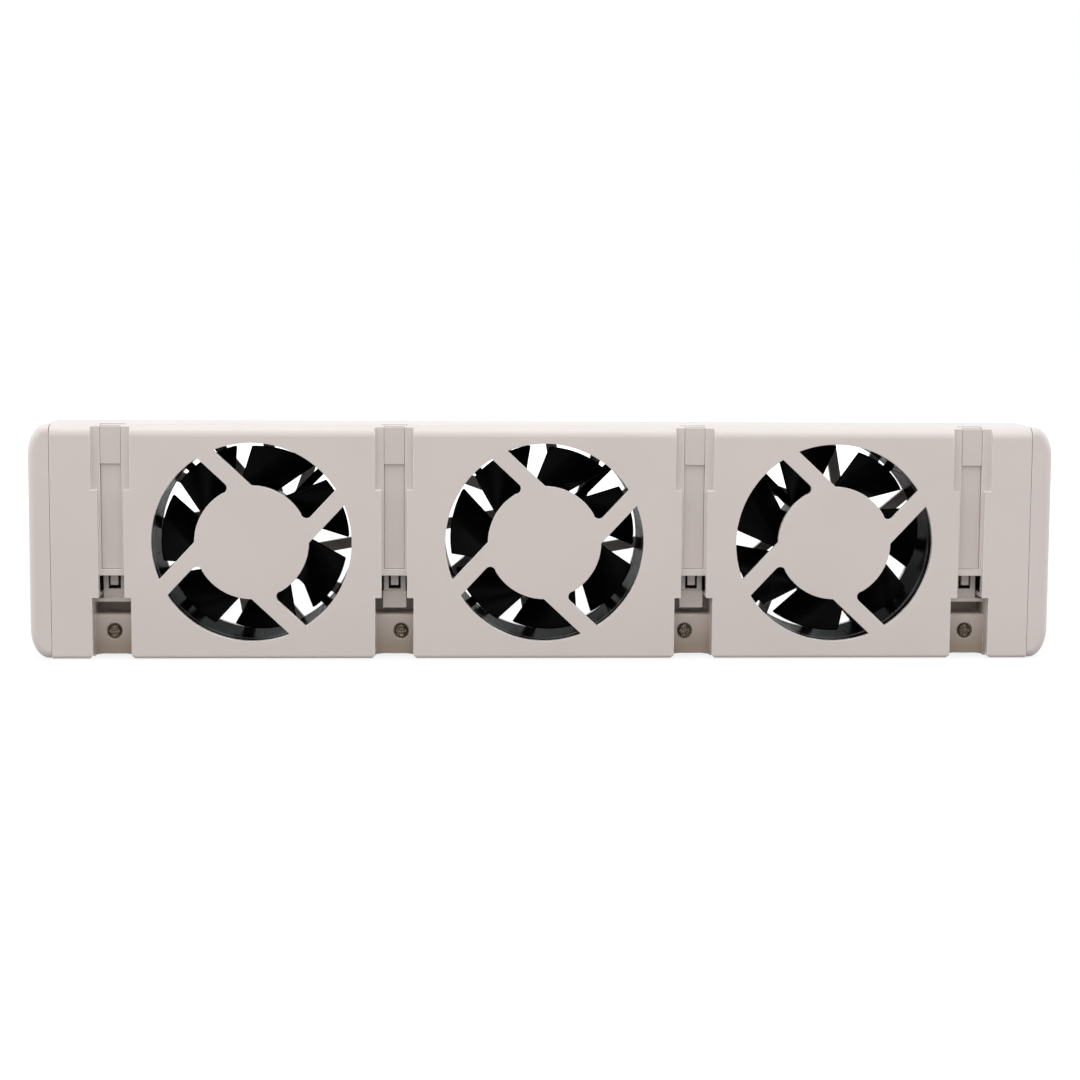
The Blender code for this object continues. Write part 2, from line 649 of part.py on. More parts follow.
def fan_seats(cover, x, name):
    """Ribs under and over one fan frame, and two pins that stand in its corner holes."""
    reach = FAN_SIZE / 2 + GAP
    runs = ((FACE_INSIDE - WALL / 2, FAN_FRONT + FLANGE_THICKNESS - GAP),
            (FAN_REAR - FLANGE_THICKNESS, REAR_SEAM - 2 * GAP))
    levels = ((WALL / 2, FAN_Z - reach), (FAN_Z + reach, BODY_HEIGHT - WALL / 2))
    for side in (-1, 1):
        middle = x + side * SEAT_RIB_SPACING / 2
        for run in runs:
            for level in levels:
                add(cover, box(name + "_rib", spread(middle, SEAT_RIB_WIDTH / 2), run, level))
        pin_ends = (FACE_INSIDE - WALL / 2, FACE_INSIDE + PIN_LENGTH)
        pin_place = (x + side * FAN_HOLE_REACH, FAN_Z - side * FAN_HOLE_REACH)
        add(cover, rod(name + "_pin", FAN_HOLE_RADIUS - GAP, pin_ends, at=pin_place, steps=TINY_STEPS))


def make_front_cover():
    """The box's front, top and bottom in one moulding."""
    outer = rounded_rectangle((FRONT, 0), (REAR_SEAM - GAP / 2, BODY_HEIGHT),
                              (LOWER_EDGE_RADIUS, 0, 0, TOP_EDGE_RADIUS))
    cover = drawn("front_cover", [outer], -COVER_END, COVER_END, along="X", home=parts, finish=OFF_WHITE)
    cut(cover, box("front_hollow", spread(0, BODY_LENGTH), (FACE_INSIDE, REAR), (WALL, BODY_HEIGHT - WALL)))
    for n, x in enumerate(CHANNEL_XS, 1):
        channel_blocks(cover, x, f"channel_{n}")
    for n, x in enumerate(CHANNEL_XS, 1):
        channel_cuts(cover, x, f"channel_{n}")
        channel_plate(cover, x, f"channel_{n}")
    for n, x in enumerate(FAN_XS, 1):
        fan_seats(cover, x, f"fan_{n}")
        cut(cover, drawn(f"face_openings_{n}", face_openings((x, FAN_Z)), FRONT - WALL, FACE_INSIDE + GAP))
    return cover


def make_rear_cover():
    """The shallow rear tray with its swirl grilles and screw posts."""
    outer = rounded_rectangle((REAR_SEAM + GAP / 2, 0), (REAR, BODY_HEIGHT),
                              (0, REAR_EDGE_RADIUS, REAR_EDGE_RADIUS, 0))
    cover = drawn("rear_cover", [outer], -COVER_END, COVER_END, along="X", home=parts, finish=OFF_WHITE)
    cut(cover, box("rear_hollow", spread(0, BODY_LENGTH), (FRONT, BACK_INSIDE), (WALL, BODY_HEIGHT - WALL)))
    for n, x in enumerate(FAN_XS, 1):
        openings = grille_openings((x, FAN_Z))
        cut(cover, drawn(f"grille_openings_{n}", openings, BACK_INSIDE - WALL, REAR + WALL))
    for n, x in enumerate(CHANNEL_XS, 1):
        at = (screw_x(x), SCREW_HEIGHT)
        add(cover, rod(f"post_{n}", POST_RADIUS, (POST_END, REAR - WALL / 2), at=at))
        hole_ends = (FRONT, SCREW_TIP + SCREW_TIP_ROOM)
        cut(cover, rod(f"post_hole_{n}", SCREW_SHANK_RADIUS + GAP, hole_ends, at=at))
    return cover


def cap_outline(side, inset):
    """An end cap's front outline, with elliptical corners at its outer end."""
    outer = BODY_LENGTH / 2 - inset
    inner = CAP_START if not inset else CAP_START - WALL
    corner = (CAP_CORNER_ACROSS - inset, CAP_CORNER_UP - inset)
    low, high = inset, BODY_HEIGHT - inset
    if side > 0:
        return rounded_rectangle((inner, low), (outer, high), (0, corner, corner, 0))
    return rounded_rectangle((-outer, low), (-inner, high), (corner, 0, 0, corner))


def edge_bevel(made, width):
    """Front and rear edges softened; edges at the seam stay sharp."""
    shape = bmesh.new()
    shape.from_mesh(made.data)
    weights = shape.edges.layers.float.new("bevel_weight_edge")
    for edge in shape.edges:
        depths = [vertex.co.y for vertex in edge.verts]
        flat = abs(depths[0] - depths[1]) < GAP / 10
        ends = [abs(vertex.co.x) for vertex in edge.verts]
        at_seam = max(ends) < CAP_START + GAP / 10
        if flat and not at_seam and abs(abs(depths[0]) - BODY_DEPTH / 2) < GAP / 10:
            edge[weights] = 1.0
    shape.to_mesh(made.data)
    shape.free()
    bevel = made.modifiers.new("soft_edge", "BEVEL")
    bevel.limit_method = "WEIGHT"
    bevel.width = width
    bevel.segments = 2


def make_end_cap(name, side):
    """A hollow cap that plugs into the open end of the two covers."""
    cap = drawn(name, [cap_outline(side, 0)], FRONT, REAR, home=parts, finish=OFF_WHITE)
    edge_bevel(cap, CAP_EDGE_RADIUS)
    cut(cap, drawn(name + "_hollow", [cap_outline(side, CAP_WALL)], FRONT + CAP_WALL, REAR - CAP_WALL))
    tab_faces = ((FACE_INSIDE + GAP, FACE_INSIDE + GAP + CAP_TAB_THICKNESS),
                 (BACK_INSIDE - GAP - CAP_TAB_THICKNESS, BACK_INSIDE - GAP))
    along = sorted((side * (CAP_START - CAP_TAB_REACH), side * (CAP_START + CAP_TAB_REACH / 2)))
    for face in tab_faces:
        for way in (-1, 1):
            level = spread(FAN_Z + way * CAP_TAB_SPACING / 2, CAP_TAB_WIDTH / 2)
            add(cap, box(name + "_tab", along, face, level))
    hole = sorted((side * (CAP_START + CAP_TAB_REACH / 2), side * BODY_LENGTH))
    cut(cap, rod(name + "_socket_hole", SOCKET_BARREL_RADIUS + GAP, hole, "X", (0, FAN_Z),
                 steps=MIDDLE_STEPS))
    return cap


def make_arms():
    """Four sliding arms: a T-shaped stem behind the channel, with the magnet's head on top."""
    stem_front = RECESS_FLOOR + ARM_TROUGH
    foot = CROSS_BAR_UPPER + GAP
    head_top = BODY_HEIGHT - ARM_HEAD_DROP
    front_half = spread(0, ARM_WIDTH / 2)
    flange_half = spread(0, ARM_FLANGE_WIDTH / 2)
    arm = box("arm_stem", front_half, (stem_front, FLANGE_BACK), (foot, HEAD_LOWER + GAP))
    magnet_z = (HEAD_LOWER + head_top) / 2
    magnet_y = (HEAD_BACK - MAGNET_THICKNESS, HEAD_BACK)
    add(arm,
        box("arm_flange", flange_half, (FLANGE_FRONT, FLANGE_BACK), (foot, HEAD_LOWER + GAP)),
        box("arm_head_face", front_half, (RECESS_FLOOR, FLANGE_BACK), (HEAD_LOWER, head_top)),
        box("arm_head_block", flange_half, (FLANGE_FRONT, HEAD_BACK), (HEAD_LOWER, head_top + GAP)))
    cut(arm,
        box("arm_groove", spread(0, ARM_FLANGE_WIDTH), (FLANGE_FRONT - ARM_GROOVE, FLANGE_FRONT),
            (head_top - ARM_GROOVE, BODY_HEIGHT + WALL)),
        box("arm_magnet_room", spread(0, MAGNET_WIDTH / 2 + GAP), (magnet_y[0] - GAP, HEAD_BACK + WALL),
            spread(magnet_z, MAGNET_HEIGHT / 2 + GAP)))
    mesh = finished(arm, "magnet_arm")
    magnet_level = spread(magnet_z, MAGNET_HEIGHT / 2)
    magnet = finished(box("magnet", spread(0, MAGNET_WIDTH / 2), magnet_y, magnet_level), "arm_magnet")
    for n, x in enumerate(CHANNEL_XS, 1):
        placed(f"magnet_arm_{n}", mesh, parts, ARM_WHITE, (x, 0, 0))
        placed(f"arm_magnet_{n}", magnet, parts, MAGNET_METAL, (x, 0, 0))


def make_screws():
    """The four cross-head cover screws."""
    head = SCREW_SEAT - SCREW_HEAD_HEIGHT
    rim = SCREW_SEAT - SCREW_HEAD_HEIGHT / 2
    profile = [(0, SCREW_TIP), (SCREW_SHANK_RADIUS / 2, SCREW_TIP),
               (SCREW_SHANK_RADIUS, SCREW_TIP - SCREW_SHANK_RADIUS), (SCREW_SHANK_RADIUS, SCREW_SEAT),
               (SCREW_HEAD_RADIUS, SCREW_SEAT), (SCREW_HEAD_RADIUS, rim),
               (SCREW_HEAD_RADIUS - SCREW_HEAD_TAPER, head), (0, head)]
    screw = turned("screw", profile, home=cutters, steps=TINY_STEPS)
    for way in (0, 1):
        across = spread(0, CROSS_RECESS_WIDTH / 2)
        slot = spread(0, CROSS_RECESS_SLOT / 2)
        sides = (across, slot) if way else (slot, across)
        cut(screw, box(f"screw_cross_{way}", sides[0], (head - WALL, head + CROSS_RECESS_DEPTH), sides[1]))
    mesh = finished(screw, "cover_screw")
    for n, x in enumerate(CHANNEL_XS, 1):
        smooth(placed(f"cover_screw_{n}", mesh, parts, SCREW_METAL, (screw_x(x), 0, SCREW_HEIGHT)))


def make_fan_frames():
    """Square fan frames with a round duct, and the motor's base on four struts."""
    half = FAN_SIZE / 2
    square = rounded_rectangle((-half, -half), (half, half), [FAN_CORNER_RADIUS] * 4, steps=3)
    places = [(across * FAN_HOLE_REACH, up * FAN_HOLE_REACH) for across in (-1, 1) for up in (-1, 1)]
    holes = [circle(FAN_HOLE_RADIUS, TINY_STEPS, place) for place in places]
    frame = drawn("fan_flange_front", [square, *holes], FAN_FRONT, FAN_FRONT + FLANGE_THICKNESS)
    duct_ends = (FAN_FRONT + GAP, FAN_REAR - GAP)
    add(frame,
        drawn("fan_flange_rear", [square, *holes], FAN_REAR - FLANGE_THICKNESS, FAN_REAR),
        rod("fan_duct", DUCT_RADIUS + DUCT_WALL, duct_ends, steps=ROUND_STEPS))
    cut(frame, rod("fan_bore", DUCT_RADIUS, (FAN_FRONT - WALL, FAN_REAR + WALL), steps=ROUND_STEPS))
    base = rod("motor_base", MOTOR_BASE_RADIUS, (MOTOR_BASE_FACE, FAN_REAR), steps=MIDDLE_STEPS)
    strut_level = (FAN_REAR - STRUT_THICKNESS, FAN_REAR - GAP)
    for k in range(STRUT_COUNT):
        angle = math.pi / 4 + k * math.tau / STRUT_COUNT
        strut = box(f"motor_strut_{k}", (MOTOR_BASE_RADIUS - WALL, DUCT_RADIUS + DUCT_WALL / 2), strut_level,
                    spread(0, STRUT_WIDTH / 2))
        strut.rotation_euler = (0, -angle, 0)
        add(frame, strut)
    add(frame, base, rod("bearing_tube", BEARING_TUBE_RADIUS, (BEARING_TUBE_FRONT, FAN_REAR - GAP)))
    cut(frame, rod("bearing_hole", BEARING_TUBE_HOLE, (FRONT, MOTOR_BASE_FACE)))
    mesh = finished(frame, "fan_frame")
    for n, x in enumerate(FAN_XS, 1):
        smooth(placed(f"fan_frame_{n}", mesh, parts, FAN_BLACK, (x, 0, FAN_Z)))


def blade_mesh():
    """One blade as an open sheet: pitched, swept back along straight lines and slightly cambered."""
    root = HUB_RADIUS - HUB_WALL / 2
    middle = FRONT + BLADE_SETBACK + BLADE_LENGTH / 2

    def build(shape):
        bmesh.ops.create_grid(shape, x_segments=3, y_segments=3, size=0.5)
        for vertex in shape.verts:
            outward = vertex.co.x + 0.5
            chord = vertex.co.y
            at_hub = on_circle(root, chord * BLADE_SPAN)
            at_tip = on_circle(ROTOR_RADIUS, chord * BLADE_SPAN - BLADE_SWEEP)
            across = at_hub[0] + (at_tip[0] - at_hub[0]) * outward
            up = at_hub[1] + (at_tip[1] - at_hub[1]) * outward
            taper = 1 - BLADE_TIP_NARROWING * outward
            depth = middle - chord * BLADE_LENGTH * taper - BLADE_CAMBER * math.cos(math.pi * chord)
            vertex.co = (across, depth, up)

    return mesh_from("blade", build)


def make_rotors():
    """Seven-bladed rotors on cup-shaped hubs that hang over the motor."""
    inside = HUB_RADIUS - HUB_WALL
    ceiling = HUB_FRONT + HUB_FACE_THICKNESS
    edge_middle = (HUB_RADIUS - HUB_EDGE_RADIUS, HUB_FRONT + HUB_EDGE_RADIUS)
    edge = arc(HUB_EDGE_RADIUS, 0, -math.pi / 2, 2, edge_middle)
    profile = [(0, ceiling + GAP), (SHAFT_HOLE, ceiling + GAP), (SHAFT_HOLE, BOSS_END),
               (BOSS_RADIUS, BOSS_END), (BOSS_RADIUS, ceiling), (inside, ceiling), (inside, HUB_REAR),
               (HUB_RADIUS, HUB_REAR), *edge, (0, HUB_FRONT)]
    rotor = turned("hub", profile, home=cutters, steps=3 * BLADE_COUNT)
    sheet = blade_mesh()
    for k in range(BLADE_COUNT):
        turn = (k + 0.5) * math.tau / BLADE_COUNT + BLADE_SWEEP / 2
        blade = placed(f"blade_{k}", sheet, cutters, turn=(0, -turn, 0))
        solid = blade.modifiers.new("thickness", "SOLIDIFY")
        solid.thickness = BLADE_THICKNESS
        solid.offset = 0
        add(rotor, blade)
    mesh = finished(rotor, "rotor")
    for n, x in enumerate(FAN_XS, 1):
        smooth(placed(f"rotor_{n}", mesh, parts, FAN_BLACK, (x, 0, FAN_Z), (0, -ROTOR_TURNS[n - 1], 0)))


def ring_profile(outer, inner, front, rear):
    """The closed section of a plain ring."""
    return [(outer, rear), (outer, front), (inner, front), (inner, rear)]


def core_outline():
    """The stator core's poles, each a neck with a curved shoe."""
    points = []
    shoe_inner = CORE_RADIUS - POLE_SHOE_THICKNESS
    neck = POLE_NECK_WIDTH / 2
    yoke = CORE_BORE + POLE_SHOE_THICKNESS
    for k in range(POLE_COUNT):
        turn = k * math.tau / POLE_COUNT
        points.append(on_circle(yoke, turn - math.asin(neck / yoke)))
        points.append(on_circle(shoe_inner, turn - math.asin(neck / shoe_inner)))
        points.append(on_circle(shoe_inner, turn - POLE_SHOE_HALF_ANGLE))
        points += arc(CORE_RADIUS, turn - POLE_SHOE_HALF_ANGLE, turn + POLE_SHOE_HALF_ANGLE, 3)
        points.append(on_circle(shoe_inner, turn + POLE_SHOE_HALF_ANGLE))
        points.append(on_circle(shoe_inner, turn + math.asin(neck / shoe_inner)))
        points.append(on_circle(yoke, turn + math.asin(neck / yoke)))
    return points


def coil_mesh():
    """The coils of one motor: a ring round each pole's neck, all on one bobbin collar."""
    neck_room = POLE_NECK_WIDTH / 2 + GAP
    yoke = CORE_BORE + POLE_SHOE_THICKNESS
    radial = (yoke + GAP, CORE_RADIUS - POLE_SHOE_THICKNESS - COIL_THICKNESS - GAP)
    collar_rear = CORE_MIDDLE - CORE_HALF - GAP
    collar = [circle(yoke + 2 * GAP, SMALL_STEPS), circle(CORE_BORE, SMALL_STEPS)]
    coils = drawn("coil_collar", collar, collar_rear - COIL_THICKNESS + GAP / 2, collar_rear)
    outer_level = spread(CORE_MIDDLE, COIL_HALF)
    for k in range(POLE_COUNT):
        ring = box(f"coil_{k}", radial, outer_level, spread(0, neck_room + COIL_THICKNESS))
        ring.rotation_euler = (0, k * math.tau / POLE_COUNT, 0)
        add(coils, ring)
    for k in range(POLE_COUNT):
        window = box(f"coil_window_{k}", (yoke / 2, CORE_RADIUS), spread(CORE_MIDDLE, CORE_HALF + GAP),
                     spread(0, neck_room))
        window.rotation_euler = (0, k * math.tau / POLE_COUNT, 0)
        cut(coils, window)
    return finished(coils, "stator_coils")


def make_motors():
    """What turns inside each hub: ring magnet, shaft, bearing, stator core, coils and fan board."""
    core_level = spread(CORE_MIDDLE, CORE_HALF)
    magnet = ring_profile(RING_OUTER, RING_INNER, RING_FRONT, RING_REAR)
    bearing = ring_profile(BEARING_RADIUS, SHAFT_HOLE, BEARING_TUBE_FRONT + GAP, MOTOR_BASE_FACE - GAP)
    board = ring_profile(CORE_BORE + FAN_BOARD_WIDTH, CORE_BORE, FAN_BOARD_FRONT, FAN_BOARD_REAR)
    shaft_ends = (HUB_FRONT + HUB_FACE_THICKNESS + 2 * GAP, MOTOR_BASE_FACE - 2 * GAP)
    coils = coil_mesh()
    for n, x in enumerate(FAN_XS, 1):
        at = (x, 0, FAN_Z)
        turned(f"rotor_magnet_{n}", magnet, True, finish=FERRITE, location=at, steps=MIDDLE_STEPS)
        shaft = rod(f"rotor_shaft_{n}", SHAFT_RADIUS, shaft_ends, home=parts, finish=SHAFT_STEEL)
        shaft.location = at
        turned(f"bearing_{n}", bearing, True, finish=BRONZE, location=at, steps=SMALL_STEPS)
        drawn(f"stator_core_{n}", [core_outline(), circle(CORE_BORE, SMALL_STEPS)], *core_level, home=parts,
              finish=CORE_STEEL, location=at)
        placed(f"stator_coils_{n}", coils, parts, COPPER, at)
        turned(f"fan_board_{n}", board, True, finish=BOARD_GREEN, location=at, steps=MIDDLE_STEPS)


def make_socket(name, side):
    """A barrel socket that looks out through an end cap, with its centre pin."""
    mouth = BODY_LENGTH / 2 - GAP
    body_end = BODY_LENGTH / 2 - CAP_WALL - 2 * GAP
    body = sorted((side * (BOARD_FACE + GAP), side * body_end))
    socket = box(name, body, spread(0, SOCKET_BODY_WIDTH / 2), spread(FAN_Z, SOCKET_BODY_HEIGHT / 2),
                 home=parts, finish=SOCKET_BLACK)
    barrel = sorted((side * (body_end - GAP), side * mouth))
    bore = sorted((side * (mouth - SOCKET_BORE_DEPTH), side * (mouth + WALL)))
    pin = sorted((side * (mouth - SOCKET_BORE_DEPTH - GAP), side * (mouth - WALL)))
    at = (0, FAN_Z)
    add(socket, rod(name + "_barrel", SOCKET_BARREL_RADIUS, barrel, "X", at, steps=MIDDLE_STEPS))
    cut(socket, rod(name + "_bore", SOCKET_BORE_RADIUS, bore, "X", at))
    add(socket, rod(name + "_pin", SOCKET_PIN_RADIUS, pin, "X", at, steps=TINY_STEPS))


def make_board(name, side):
    """An upright circuit board at one end, with a chip and a capacitor."""
    board = box(name, sorted((side * BOARD_X, side * BOARD_FACE)), spread(0, BOARD_DEPTH / 2),
                (BOARD_FOOT, BOARD_FOOT + BOARD_HEIGHT), home=parts, finish=BOARD_GREEN)
    chip_depth, chip_up = CHIP_PLACE
    chip_ends = sorted((side * (BOARD_FACE - GAP), side * (BOARD_FACE + CHIP_THICKNESS)))
    can_depth, can_up = CAPACITOR_PLACE
    can_ends = sorted((side * (BOARD_FACE - GAP), side * (BOARD_FACE + CAPACITOR_LENGTH)))
    add(board,
        box(name + "_chip", chip_ends, spread(chip_depth, CHIP_SIZE / 2),
            spread(BOARD_FOOT + chip_up, CHIP_SIZE / 2)),
        rod(name + "_capacitor", CAPACITOR_RADIUS, can_ends, "X", (can_depth, BOARD_FOOT + can_up)))


def bent_route(corners, radius, steps=2):
    """A route through these corners, in (x, z), with each inner corner rounded."""
    points = [corners[0]]
    for before, corner, after in zip(corners, corners[1:], corners[2:]):
        points += filleted_corner(before, corner, after, radius, steps)
    return points + [corners[-1]]


def make_lead(name, depth, corners):
    """A thin cable laid along the housing's floor at one depth."""
    curve = bpy.data.curves.new(name, "CURVE")
    curve.dimensions = "3D"
    curve.fill_mode = "FULL"
    curve.bevel_depth = LEAD_RADIUS
    curve.bevel_resolution = 2
    curve.use_fill_caps = True
    route = bent_route(corners, LEAD_BEND)
    spline = curve.splines.new("POLY")
    spline.points.add(len(route) - 1)
    for point, (x, z) in zip(spline.points, route):
        point.co = (x, depth, z, 1)
    smooth(placed(name, mesh_of_curve(curve, name, Matrix.Identity(4)), parts, LEAD_BLACK), 50)


def make_leads():
    """Each fan's lead runs from its duct to the control board, and the link lead from board to board."""
    board_face = -BOARD_X + GAP
    shoulder = DUCT_RADIUS + DUCT_WALL + GAP
    for n, x in enumerate(FAN_XS, 1):
        start = on_circle(shoulder, LEAD_ANGLE, (x, FAN_Z))
        turn = on_circle(shoulder + LEAD_DROP, LEAD_ANGLE, (x, FAN_Z))
        down = (turn[0] - LEAD_BEND, LEAD_Z)
        depth = (FAN_COUNT - n) * LEAD_SPACING
        make_lead(f"fan_lead_{n}", depth, [start, turn, down, (board_face, LEAD_Z)])
    make_lead("link_lead", -LEAD_SPACING, [(-board_face, LEAD_Z), (board_face, LEAD_Z)])


make_front_cover()
make_rear_cover()
make_end_cap("left_end_cap", -1)
make_end_cap("right_end_cap", 1)
make_arms()
make_screws()
make_fan_frames()
make_rotors()
make_motors()
make_socket("power_socket", -1)
make_socket("link_socket", 1)
make_board("control_board", -1)
make_board("link_board", 1)
make_leads()
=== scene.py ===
"""Looks of the three-fan bar: finer mouldings, rotors and screws, their finishes, light and camera."""

import json
import math

import bpy
from mathutils import Euler, Matrix, Vector


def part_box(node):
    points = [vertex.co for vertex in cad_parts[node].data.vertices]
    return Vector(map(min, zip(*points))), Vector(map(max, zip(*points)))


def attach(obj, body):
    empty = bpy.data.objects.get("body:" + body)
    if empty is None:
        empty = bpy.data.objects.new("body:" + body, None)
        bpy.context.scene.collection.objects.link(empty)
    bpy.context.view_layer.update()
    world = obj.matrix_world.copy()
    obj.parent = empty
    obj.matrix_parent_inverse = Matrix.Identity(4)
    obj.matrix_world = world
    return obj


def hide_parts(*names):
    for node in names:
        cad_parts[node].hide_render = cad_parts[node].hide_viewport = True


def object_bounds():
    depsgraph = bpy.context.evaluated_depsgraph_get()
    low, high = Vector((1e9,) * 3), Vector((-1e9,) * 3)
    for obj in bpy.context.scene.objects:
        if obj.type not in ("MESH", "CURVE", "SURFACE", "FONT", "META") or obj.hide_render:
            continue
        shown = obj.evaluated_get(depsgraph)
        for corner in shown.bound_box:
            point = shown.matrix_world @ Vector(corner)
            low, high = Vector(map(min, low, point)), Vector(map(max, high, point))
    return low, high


# Camera: left of the middle and a little above, looking slightly down
CAMERA_PLACE = Vector((-0.0311, -0.6545, 0.1051))
CAMERA_YAW = math.radians(2.66)
CAMERA_PITCH = math.radians(6.30)
CAMERA_ROLL = math.radians(0.36)
CAMERA_LENS = 74.9
CAMERA_SENSOR = 36.0
CAMERA_NEAR = 0.01

# Light
ROOM_FRONT = 0.60
ROOM_BACK = 0.95
ROOM_SIDES = 1.5
ROOM_FRONT_TONE = (1.0, 0.960, 0.940)
ROOM_BACK_TONE = (0.955, 1.0, 1.015)
ROOM_TURNS = (-0.15, 0.55)
ROOM_SIDE_TURNS = (0.5, 1.0)
ROOM_TONE_TURNS = (-0.75, -0.05)
KEY_PLACE = (-0.12, -0.28, 1.20)
KEY_SIZE = (1.5, 0.7)
KEY_POWER = 7.5
KEY_TONE = (0.940, 1.0, 1.030)
FILL_PLACE = (-0.3, -1.25, 1.05)
FILL_SIZE = (2.0, 1.2)
FILL_POWER = 6.3
FILL_TONE = (1.0, 0.965, 0.945)
FLOOR_SIZE = 6.0
FLOOR_DROP = 0.0003
FLOOR_PAINT = 0.30
FLOOR_ROUGHNESS = 0.9
FLOOR_OWN_LIGHT = 1.62
FLOOR_SHARE_NEAR = 0.52
FLOOR_NEAR = 0.22
FLOOR_FAR = 0.75

# Driving sizes of the finer shapes; most are those of the solids
WALL = 0.002
GAP = 0.0003
OPENING_RADIUS = 0.0285
FACE_HUB_RADIUS = 0.0163
SPOKE_COUNT = 4
SPOKE_ANGLE = math.radians(47)
SPOKE_OFFSET = 0.0072
SPOKE_WIDTH = 0.0048
SPOKE_CORNER = 0.0016
GRILLE_BARS = 12
GRILLE_ANGLE = math.radians(40)
GRILLE_HUB_RADIUS = 0.0125
GRILLE_OFFSET = 0.006
GRILLE_BAR_WIDTH = 0.0032
REAR_COVER_DEPTH = 0.004
TOP_EDGE_RADIUS = 0.0035
LOWER_EDGE_RADIUS = 0.0010
REAR_EDGE_RADIUS = 0.002
POST_RADIUS = 0.0026
POST_HOLE_RADIUS = 0.0015
POST_HOLE_ROOM = 0.001

RECESS_DEPTH = 0.0018
RECESS_WIDTH = 0.011
RECESS_HEIGHT = 0.0185
CHANNEL_WIDTH = 0.0073
CHANNEL_FLOOR = 0.0014
CHANNEL_SIDE = 0.0012
CROSS_BAR = (0.0238, 0.0257)
POCKET = (0.0122, 0.0175)
POCKET_DEPTH = 0.0145
SHELF_DEPTH = 0.0055
SHELF_THICKNESS = 0.002
SHELF_EDGE = 0.001
SHELF_SCOOP = 0.0008
SHELF_CORNER = 0.0009
SCREW_SINK_RADIUS = 0.00235
SCREW_SINK_DEPTH = 0.001
PLATE_DEPTH = 0.0069
PLATE_WIDTH = 0.0064
PLATE_THICKNESS = 0.0018
PLATE_STANDING = 0.0015
LATCH_SLOT_WIDTH = 0.0035
LATCH_SLOT_LOWER = 0.0194
LATCH_WIDTH = 0.0022
LATCH_LOWER = 0.0205
LATCH_STANDING = 0.0006
TONGUE_WIDTH = 0.0068
TONGUE = (0.0142, 0.0189)
LIP = (0.0159, 0.0167)
LIP_STEP = 0.0004
GUIDE_WALL = 0.0013
ARM_GUIDE = 0.0074
ARM_SLOT = 0.0059
ARM_FLANGE = 0.0014
ARM_HEAD_DEPTH = 0.0071
ARM_HEAD_LOWER = 0.0559
SEAT_RIB_WIDTH = 0.0016
SEAT_RIB_SPACING = 0.040
PIN_RADIUS = 0.00185
PIN_LENGTH = 0.0055

CAP_WALL = 0.0025
CAP_CORNER = (0.0052, 0.0085)
CAP_EDGE = 0.0026
CAP_SEAM = 0.0001
CAP_TAB_WIDTH = 0.014
CAP_TAB_REACH = 0.003
CAP_TAB_THICKNESS = 0.0015
CAP_TAB_SPACING = 0.032
SOCKET_HOLE_RADIUS = 0.0042

DUCT_RADIUS = 0.0286
DUCT_WALL = 0.0011
DUCT_MOUTH = 0.0004
FLANGE_THICKNESS = 0.0035
FLANGE_CORNER = 0.003
FRAME_HOLE_RADIUS = 0.00215
FRAME_HOLE_REACH = 0.025
BASE_RADIUS = 0.0135
BASE_THICKNESS = 0.002
BASE_INSET = GAP / 3
STRUT_COUNT = 4
STRUT_WIDTH = 0.0024
STRUT_THICKNESS = 0.0025
BEARING_TUBE = (0.0036, 0.0028)

BLADE_COUNT = 7
BLADE_TIP = 0.027
BLADE_SPAN = math.radians(40)
BLADE_SWEEP = math.radians(18)
BLADE_LENGTH = 0.0115
BLADE_SETBACK = 0.0095
BLADE_CAMBER = 0.0012
BLADE_THICKNESS = 0.0012
BLADE_NARROWING = 0.2
HUB_RADIUS = 0.0145
HUB_WALL = 0.0013
HUB_FACE = 0.0015
HUB_EDGE = 0.001
BOSS_RADIUS = 0.0026
BOSS_LENGTH = 0.0031
SHAFT_HOLE = 0.0013
ROTOR_TURNS = (math.radians(2.7), math.radians(-1.9), math.radians(34.8))

SCREW_SHANK = 0.0012
SCREW_HEAD = 0.0013
SCREW_RIM = 0.0005
SCREW_DOME = 0.0008
SCREW_CROSS = (0.0026, 0.0007, 0.0009)
SCREW_ARRIS = 0.00015
ARM_WIDTH = 0.0053
ARM_SPREAD = 0.00021

# Marks of use and making, shared by the finishes
GRAIN_SCALE = 3800.0
WAVE_SCALE = 40.0
WAVE_HEIGHT = 3.0
POLISH_SCALE = 310.0
NOISE_RANGE = (0.3, 0.7)
WEAR_SCALE = 260.0
WEAR_BREAKS = (0.35, 0.6)
WEAR_LEAST = 0.35
WORN_SMOOTHER = 0.12
LINE_SCALE = 900.0
SCRATCH_SCALE = 1700.0
SCRATCH_TURNS = (0.5, -1.1)
SCRATCH_STRETCH = 0.04
SCRATCH_RANGE = (0.66, 0.70)
SCRATCH_DULLER = 0.12
WORN_AND_GLINT_BRIGHT = 6.0

# The fans' black, and the painted sheen ring in the ducts: its depth, its half width and its breaks
FAN_BLACK = (0.0032, 0.0030, 0.0030)
FAN_BLACK_SMEARED = (0.0052, 0.0050, 0.0048)
FAN_BLACK_WORN = (0.014, 0.012, 0.010)
SMEAR_RANGE = (0.35, 0.7)
DUCT_SHEEN_RING = (-0.0078, 0.0016)
SHEEN_TONE = (0.20, 0.20, 0.21)
SHEEN_BREAKS = (0.35, 0.65)
SHEEN_LEAST = 0.2

# Painted shade in the pockets and low on the screw shelves
POCKET_SHADE_TONE = (0.53, 0.48, 0.40)
POCKET_SHADE_LEVELS = (0.003, 0.011)
POCKET_SHADE_HIGH = 0.45
POCKET_SHADE_INSIDE = 0.7

